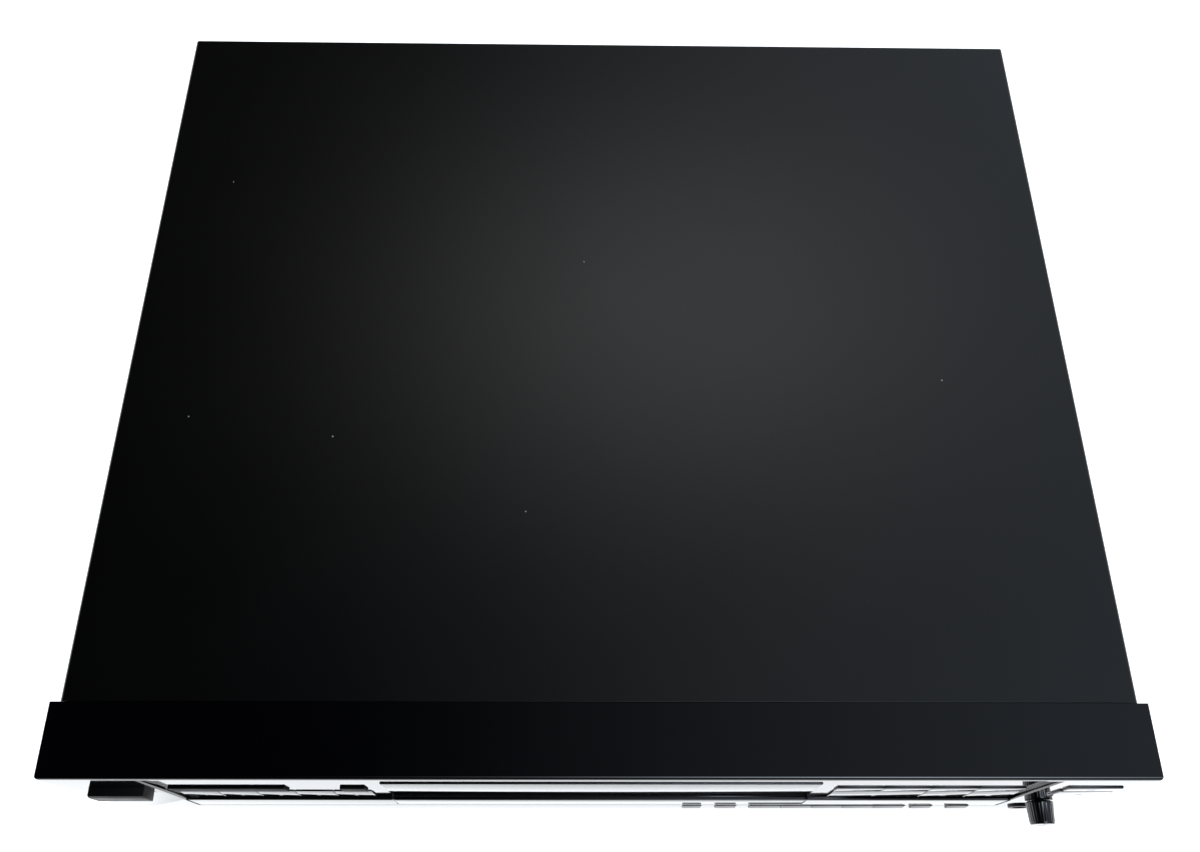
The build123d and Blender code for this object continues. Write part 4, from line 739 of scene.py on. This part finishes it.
co = pointsMm("cover_screws")
shells = []
for side in (-1, 1):
    heads = onPlane(co, 0, side * (coverHigh[0] + screw["height"]))
    for head in (heads[heads[:, 1] < 0], heads[heads[:, 1] > 0]):
        shells += coverScrew(head, 0, side, side * coverHigh[0])
heads = onPlane(co, 1, rearY + screw["height"])
within = screw["middleWithin"]
for head in (heads[heads[:, 0] < -within], heads[np.abs(heads[:, 0]) < within], heads[heads[:, 0] > within]):
    shells += coverScrew(head, 1, 1, rearY)
piece("CoverScrews", shells, "cover_screws")
print("screws ready")

socket = {"shell": 4.2, "bore": 3.35, "pin": 1.6, "pinHole": 1.2, "collar": 6.0, "collarDepth": 1.2, "depth": 3.0}
low, high = boxMm("output_sockets")
ends = onPlane(pointsMm("output_sockets"), 1, high[1])
socketZ = middle(ends)[2]
out, bore, pin, collar = [socket[part] for part in ("shell", "bore", "pin", "collar")]
hole, back, tipY = socket["pinHole"], rearY - socket["depth"], high[1]
# rings of (radius, y): plated shell, coloured core, the pin's sleeve, and the collar on the rear sheet
tubeShell = [(bore, rearY - 1), (out, rearY - 1), (out, tipY - 0.3), (out - 0.2, tipY), (out - 0.6, tipY),
             (bore, tipY - 0.3)]
core = [(pin, back), (bore - 0.01, back), (bore - 0.01, tipY - 0.9), (bore - 0.25, tipY - 0.7),
        (pin + 0.3, tipY - 0.7), (pin, tipY - 1.1)]
sleeve = [(hole, back), (pin - 0.02, back), (pin - 0.02, tipY - 1.2), (hole + 0.2, tipY - 1.05), (hole, tipY - 1.2)]
collarTop = rearY + socket["collarDepth"]
flange = [(out, rearY), (collar - 0.1, rearY), (collar, rearY + 0.2), (collar, collarTop - 0.3),
          (collar - 0.3, collarTop), (out, collarTop)]
shells = [roundBlock([low[0], low[1], low[2]], [high[0], rearY - 1.0, high[2]], 0.4, "blackNylon")]
for x, colour in ((ends[:, 0].min() + out, "redNylon"), (ends[:, 0].max() - out, "whiteNylon")):
    for profile, finishName, steps in ((tubeShell, "platedBrass", 64), (core, colour, 48),
                                       (sleeve, "platedBrass", 32), (flange, "blackNylon", 48)):
        shells.append(turned(profile, (x, 0, socketZ), "y", finishName, steps, closed=True))
piece("OutputSockets", shells, "output_sockets")

inlet = {"pinAt": 4.3, "pinHalf": 1.25, "depth": 12.8}
low, high = boxMm("mains_inlet")
inletX, inletZ = (low[0] + high[0]) / 2, (low[2] + high[2]) / 2
pin = inlet["pinHalf"]
softened(
    "mains_inlet", "MainsInlet", "blackNylon", 0.3, 2,
    [("platedBrass", (x - pin, rearY - inlet["depth"], inletZ - pin), (x + pin, rearY, inletZ + pin))
     for x in (inletX - inlet["pinAt"], inletX + inlet["pinAt"])],
)
print("sockets ready")

# moving parts and electrics inside, seen with the drawer out
table = {"flangeDrop": 2.2, "flange": 1.6, "boss": 7.4, "bossRise": 2.2, "padInner": 9.4, "padInset": 1.2, "steps": 72}
low, high = boxMm("disc_table")
playY, flangeZ = (low[1] + high[1]) / 2, high[2] - table["flangeDrop"]
tableRadius, boss = (high[0] - low[0]) / 2, table["boss"]
underZ, bossZ = flangeZ - table["flange"], flangeZ + table["bossRise"]
tableProfile = [
    (0, low[2]), (1.0, low[2]), (1.0, underZ), (tableRadius - 0.3, underZ), (tableRadius, flangeZ - 1.3),
    (tableRadius, flangeZ - 0.4), (tableRadius - 0.3, flangeZ - 0.1), (boss + 0.3, flangeZ - 0.1),
    (boss, flangeZ + 0.2), (boss - 0.3, flangeZ + 0.8), (boss - 1.0, flangeZ + 2.0), (boss - 1.3, bossZ),
    (2.2, bossZ), (1.8, flangeZ + 1.6), (0, flangeZ + 1.6),
]
padCorners = rectangle((table["padInner"], flangeZ - 0.2), (tableRadius - table["padInset"], flangeZ))
pad = roundedLine(padCorners, [0, 0.08, 0.08, 0], 3)
piece(
    "DiscTable",
    [turned(tableProfile, (0, playY, 0), "z", "blackNylon", table["steps"]),
     turned(pad, (0, playY, 0), "z", "footRubber", table["steps"], closed=True)],
    "disc_table",
)

lens = {"radius": 2.4, "rise": 0.45, "sunk": 0.2, "rings": 8, "steps": 40}
low, high = boxMm("pickup")
lensRim = onPlane(pointsMm("pickup"), 2, high[2])
lensX, lensY = lensRim[:, 0].mean(), middle(lensRim)[1]
softened("pickup", "PickupSled", "deckAbs", 0.2, 1)
lensAngle = np.linspace(math.pi / 2, 0.05, lens["rings"])
lensDome = [(lens["radius"], high[2] - lens["sunk"])] + [
    (lens["radius"] * math.sin(a), high[2] + lens["rise"] * math.cos(a)) for a in lensAngle
]
dome = turned(lensDome, (lensX, lensY, 0), "z", "coatedLens", lens["steps"])
piece("PickupLens", [dome], "pickup", False)

# the coil's box round the middle leg: half sizes, and its heights above the fixing plate
coil = {"plate": 1.2, "low": 10.9, "high": 35.1, "wide": 17.0, "window": 13.02, "deep": 18.1, "core": 9.6}
low, high = boxMm("transformer")
x0, y0 = (low[0] + high[0]) / 2, (low[1] + high[1]) / 2
coreZ = low[2] + coil["plate"]
wide, inner, deep, core = [coil[part] for part in ("wide", "window", "deep", "core")]
softened(
    "transformer", "Transformer", "corePlates", 0.2, 1,
    [("zincSheet", low - 1, (high[0] + 1, high[1] + 1, coreZ + 0.01))]
    + [("coilTape", (x0 + a, y0 + b, coreZ + coil["low"]), (x0 + c, y0 + d, coreZ + coil["high"]))
       for a, b, c, d in ((-wide, -deep, -inner, deep), (inner, -deep, wide, deep),
                          (-wide, -deep, wide, -core), (-wide, core, wide, deep))],
)

low, high = boxMm("main_board")
co = pointsMm("main_board")
boardTop = co[co[:, 0] < 40][:, 2].max()    # nothing stands on the board's left part
tallest = high[2] - boardTop
# what stands on the board: its finish, from and to in x, from and to above the board
boardParts = (
    ("blackNylon", 50, 90, 0.02, 4), ("sleeveVinyl", 92, 130, 0.02, tallest - 0.02),
    ("pressedAluminium", 92, 108, 17.9, 18.1), ("pressedAluminium", 109, 130, tallest - 0.05, tallest + 0.05),
)
softened(
    "main_board", "MainBoard", "phenolicBoard", 0.2, 1,
    [(finishName, (x0, low[1], boardTop + z0), (x1, high[1], boardTop + z1))
     for finishName, x0, x1, z0, z1 in boardParts],
)

jack = {"half": 6.1, "up": 5.8, "board": 2.0}
low, high = boxMm("phones_board")
boardY = high[1] - jack["board"]
softened(
    "phones_board", "PhonesBoard", "blackNylon", 0.15, 1,
    [("phenolicBoard", (low[0] - 1, boardY, low[2] - 1), high + 1),
     ("motorCan", (knobX - jack["half"], panelFront, knobZ - jack["half"]),
      (knobX + jack["half"], boardY, knobZ + jack["up"]))],
)

spindle = {"half": 11.3, "deep": 6.0}
motorTop = boxMm("optical_base")[1][2]
softened(
    "optical_base", "OpticalBase", "deckAbs", 0.3, 1,
    [("motorCan", (-spindle["half"], playY - spindle["half"], motorTop - spindle["deep"]),
      (spindle["half"], playY + spindle["half"], motorTop + 0.1))],
)
softened("drawer", "DrawerTray", "trayAbs", 0.35, 2)
softened("carousel", "CarouselTray", "trayAbs", 0.4, 3)
softened("mech_deck", "MechanismDeck", "deckAbs", 0.3, 1)
for node, finishName, edge in (
    ("loading_motor", "motorCan", 0.4), ("carousel_motor", "motorCan", 0.4), ("loading_belt", "beltRubber", 0.1),
    ("carousel_belt", "beltRubber", 0.1), ("clamp_bridge", "zincSheet", 0.1), ("carousel_pulley", "acetal", 0.15),
    ("loading_pulley", "acetal", 0.15), ("loading_gear", "acetal", 0.12), ("feed_gear", "acetal", 0.08),
    ("lift_slider", "acetal", 0.15), ("lift_gear", "acetal", 0.12), ("clamper", "acetal", 0.2),
    ("guide_shaft", "groundSteel", 0.1),
):
    softened(node, titleOf(node), finishName, edge)

# numbers 1 to 5 on the lands between the wells
numbers = {"wells": 5, "radius": 143.0, "height": 9.0, "bar": 1.3, "proud": 0.15, "sunk": 0.1, "edge": 0.05}
low, high = boxMm("carousel")
carouselY, carouselTop = (low[1] + high[1]) / 2, high[2]
span = (carouselTop - numbers["sunk"], carouselTop + numbers["proud"])
shells = []
for n in range(numbers["wells"]):
    angle = math.radians(90 + (n + 0.5) * 360 / numbers["wells"])
    out = np.array([math.cos(angle), math.sin(angle)])
    along = np.array([-math.sin(angle), math.cos(angle)])
    for a, b in digitBars(n + 1, 0, 0, numbers["height"], numbers["bar"]):
        corners = [along * x + out * (numbers["radius"] - z) + [0, carouselY] for x, z in rectangle(a, b)]
        shells.append(carried(corners, "z", span, numbers["edge"], "palePrint", 2))
piece("WellNumbers", shells, "carousel", False)
print("mechanism ready")

# Floor: a pale table whose glow hides most of the shadow near the object and grows to white further out, but not under
# the object: there the glow is left out as a painted shadow, which fades in between two half sizes in x and in y
stage = {
    "size": 6.0, "colour": "#f2f2f3", "rough": 0.8, "nearGlow": 0.6, "farGlow": 1.0, "near": 0.5, "far": 1.3,
    "under": ((0.16, 0.2), (0.15, 0.178)),
}
floorMesh = bpy.data.meshes.new("Floor")
reach = stage["size"] / 2
corners = rectangle((-reach, -reach), (reach, reach))
floorMesh.from_pydata([(x, y, 0) for x, y in corners], [], [(0, 1, 2, 3)])
floor = bpy.data.objects.new("Floor", floorMesh)
bpy.context.scene.collection.objects.link(floor)
floorMaterial = bpy.data.materials.new("paleTable")
floorMaterial.use_nodes = True
tree = floorMaterial.node_tree
tree.nodes.clear()
rays = addNode(tree, "LightPath")
where = addNode(tree, "TexCoord")["Object"]
distance = addNode(tree, "VectorMath", {"operation": "LENGTH", 0: where})["Value"]
spot = addNode(tree, "SeparateXYZ", {0: where})
# painted shadow: the glow is zero in a box under the object, so the floor and its reflections show shade there
clearOfPaintedShadow = 0.0
for axis, (inner, outer) in enumerate(stage["under"]):
    away = addNode(tree, "Math", {"operation": "ABSOLUTE", 0: spot[axis]})[0]
    edge = addNode(
        tree, "MapRange",
        {"interpolation_type": "SMOOTHSTEP", "From Min": inner, "From Max": outer, "Value": away},
    )[0]
    clearOfPaintedShadow = addNode(tree, "Math", {"operation": "MAXIMUM", 0: edge, 1: clearOfPaintedShadow})[0]
seenGlow = addNode(
    tree, "MapRange",
    {"From Min": stage["near"], "From Max": stage["far"], "To Min": stage["nearGlow"], "To Max": stage["farGlow"],
     "Value": distance},
)[0]
clear = addNode(tree, "Math", {"operation": "MAXIMUM", 0: rays["Is Camera Ray"], 1: rays["Is Transmission Ray"]})[0]
direct = addNode(tree, "Math", {"operation": "MULTIPLY", 0: clear, 1: seenGlow})[0]
seen = addNode(tree, "Math", {"operation": "MAXIMUM", 0: direct, 1: rays["Is Glossy Ray"]})[0]
glow = addNode(tree, "Math", {"operation": "MULTIPLY", 0: seen, 1: clearOfPaintedShadow})[0]
tableTop = addNode(
    tree, "BsdfPrincipled",
    {"Base Color": linear(stage["colour"]), "Roughness": stage["rough"], "Emission Color": (1, 1, 1, 1),
     "Emission Strength": glow},
)[0]
addNode(tree, "OutputMaterial", {"Surface": tableTop})
floorMesh.materials.append(floorMaterial)

# Room: a dark ceiling with a soft bright patch behind and above, a bluish right side, a white band at the horizon and
# a bluish panel of light high in front. With u = x/z and v = y/z of a direction, a patch is (strength, u, v, spread
# in u, spread in v); side goes by u, band by z and bandStrength by y, each as (from, to, value there, value here).
room = {
    "patch": (1.55, 0.1, 0.62, 0.3, 0.17),
    "frontPatch": (10.0, 0.3, -0.42, 0.26, 0.2), "frontColour": (0.86, 0.97, 1.1, 1.0),
    "side": (-0.3, 0.75, 0.0, 0.56), "sideColour": (0.84, 0.96, 1.12, 1.0),
    "band": (0.12, 0.4, 1.0, 0.0), "bandStrength": (-0.5, 0.1, 0.2, 0.9),
    "white": (1, 1, 1, 1), "leastRise": 0.05,
}
world = bpy.data.worlds.new("room")
bpy.context.scene.world = world
world.use_nodes = True
tree = world.node_tree
tree.nodes.clear()
direction = addNode(tree, "TexCoord")["Generated"]
lookX, lookY, lookZ = addNode(tree, "SeparateXYZ", {0: direction})
rise = addNode(tree, "Math", {"operation": "MAXIMUM", 0: lookZ, 1: room["leastRise"]})[0]
u = addNode(tree, "Math", {"operation": "DIVIDE", 0: lookX, 1: rise})[0]
v = addNode(tree, "Math", {"operation": "DIVIDE", 0: lookY, 1: rise})[0]


# strength x exp(-((u - u0)/su)^2 - ((v - v0)/sv)^2)
def softPatch(strength, u0, v0, su, sv):
    farU = addNode(tree, "Math", {"operation": "MULTIPLY_ADD", 0: u, 1: 1 / su, 2: -u0 / su})[0]
    farV = addNode(tree, "Math", {"operation": "MULTIPLY_ADD", 0: v, 1: 1 / sv, 2: -v0 / sv})[0]
    squareU = addNode(tree, "Math", {"operation": "MULTIPLY", 0: farU, 1: farU})[0]
    squares = addNode(tree, "Math", {"operation": "MULTIPLY_ADD", 0: farV, 1: farV, 2: squareU})[0]
    minus = addNode(tree, "Math", {"operation": "MULTIPLY", 0: squares, 1: -1.0})[0]
    fall = addNode(tree, "Math", {"operation": "EXPONENT", 0: minus})[0]
    return addNode(tree, "Math", {"operation": "MULTIPLY", 0: fall, 1: strength})[0]


fades = {}
for name, value in (("band", lookZ), ("bandStrength", lookY), ("side", u)):
    start, end, low, high = room[name]
    fades[name] = addNode(
        tree, "MapRange",
        {"interpolation_type": "SMOOTHSTEP", "From Min": start, "From Max": end, "To Min": low, "To Max": high,
         "Value": value},
    )[0]
above = addNode(tree, "Math", {"operation": "SUBTRACT", 0: 1.0, 1: fades["band"]})[0]
lit = None
for colour, strength, part in (
    (room["white"], softPatch(*room["patch"]), above), (room["sideColour"], fades["side"], above),
    (room["white"], fades["band"], fades["bandStrength"]),
    (room["frontColour"], softPatch(*room["frontPatch"]), above),
):
    power = addNode(tree, "Math", {"operation": "MULTIPLY", 0: strength, 1: part})[0]
    light = addNode(tree, "Background", {"Color": colour, "Strength": power})[0]
    lit = light if lit is None else addNode(tree, "AddShader", {0: lit, 1: light})[0]
white = addNode(tree, "Background", {"Color": room["white"], "Strength": 1.0})[0]
rays = addNode(tree, "LightPath")
plain = addNode(tree, "Math", {"operation": "MAXIMUM", 0: rays["Is Camera Ray"], 1: rays["Is Transmission Ray"]})[0]
mixed = addNode(tree, "MixShader", {0: plain, 1: lit, 2: white})[0]
addNode(tree, "OutputWorld", {"Surface": mixed})

lamps = {
    # name: (place, aimed at, size across, size up, watts)
    "overheadPanel": ((0.0, 0.1, 2.3), (0, 0, 0.1), 1.8, 1.4, 19.0),
    "leftPanel": ((-2.0, -0.4, 0.9), (0, 0, 0.05), 1.0, 1.0, 9.0),
    "rightPanel": ((2.0, -0.4, 0.9), (0, 0, 0.05), 1.0, 1.0, 9.0),
    "frontPanel": ((0.0, -2.2, 0.9), (0, 0, 0.05), 1.4, 0.8, 9.0),
    "rearPanel": ((0.0, 2.2, 0.9), (0, 0, 0.05), 1.4, 0.8, 9.0),
}
for name, (position, target, across, up, watts) in lamps.items():
    data = bpy.data.lights.new(name, "AREA")
    data.shape = "RECTANGLE"
    data.size, data.size_y, data.energy = across, up, watts
    lamp = bpy.data.objects.new(name, data)
    bpy.context.scene.collection.objects.link(lamp)
    lamp.visible_glossy = False
    back = np.array(position, float) - np.array(target, float)
    back /= np.linalg.norm(back)
    right = np.cross([0.0, 1.0, 0.0] if abs(back[2]) > 0.99 else [0.0, 0.0, 1.0], back)
    right /= np.linalg.norm(right)
    top = np.cross(back, right)
    lamp.matrix_world = Matrix([[right[i], top[i], back[i], position[i]] for i in range(3)] + [[0, 0, 0, 1]])

shot = {
    "place": (-0.00748, -0.24164, 0.5464), "pitch": 64.676, "yaw": -1.836, "roll": 1.959,
    "focalPixels": 1094.4, "widthPixels": 1200.0, "sensorMm": 36.0, "clipStart": 0.01,
}
pitch, yaw, roll = [math.radians(shot[k]) for k in ("pitch", "yaw", "roll")]
turn = np.array([[math.cos(yaw), -math.sin(yaw), 0], [math.sin(yaw), math.cos(yaw), 0], [0, 0, 1]])
ahead = turn @ [0, math.cos(pitch), -math.sin(pitch)]
flatRight, flatUp = turn @ [1, 0, 0], turn @ [0, math.sin(pitch), math.cos(pitch)]
right = math.cos(roll) * flatRight + math.sin(roll) * flatUp
up = -math.sin(roll) * flatRight + math.cos(roll) * flatUp
cameraData = bpy.data.cameras.new("shotCamera")
cameraData.sensor_width = shot["sensorMm"]
cameraData.lens = shot["sensorMm"] * shot["focalPixels"] / shot["widthPixels"]
cameraData.clip_start = shot["clipStart"]
camera = bpy.data.objects.new("shotCamera", cameraData)
bpy.context.scene.collection.objects.link(camera)
camera.matrix_world = Matrix([[right[i], up[i], -ahead[i], shot["place"][i]] for i in range(3)] + [[0, 0, 0, 1]])
bpy.context.scene.camera = camera
bpy.context.scene.view_settings.view_transform = "Standard"
print("stage ready")

bpy.context.view_layer.update()
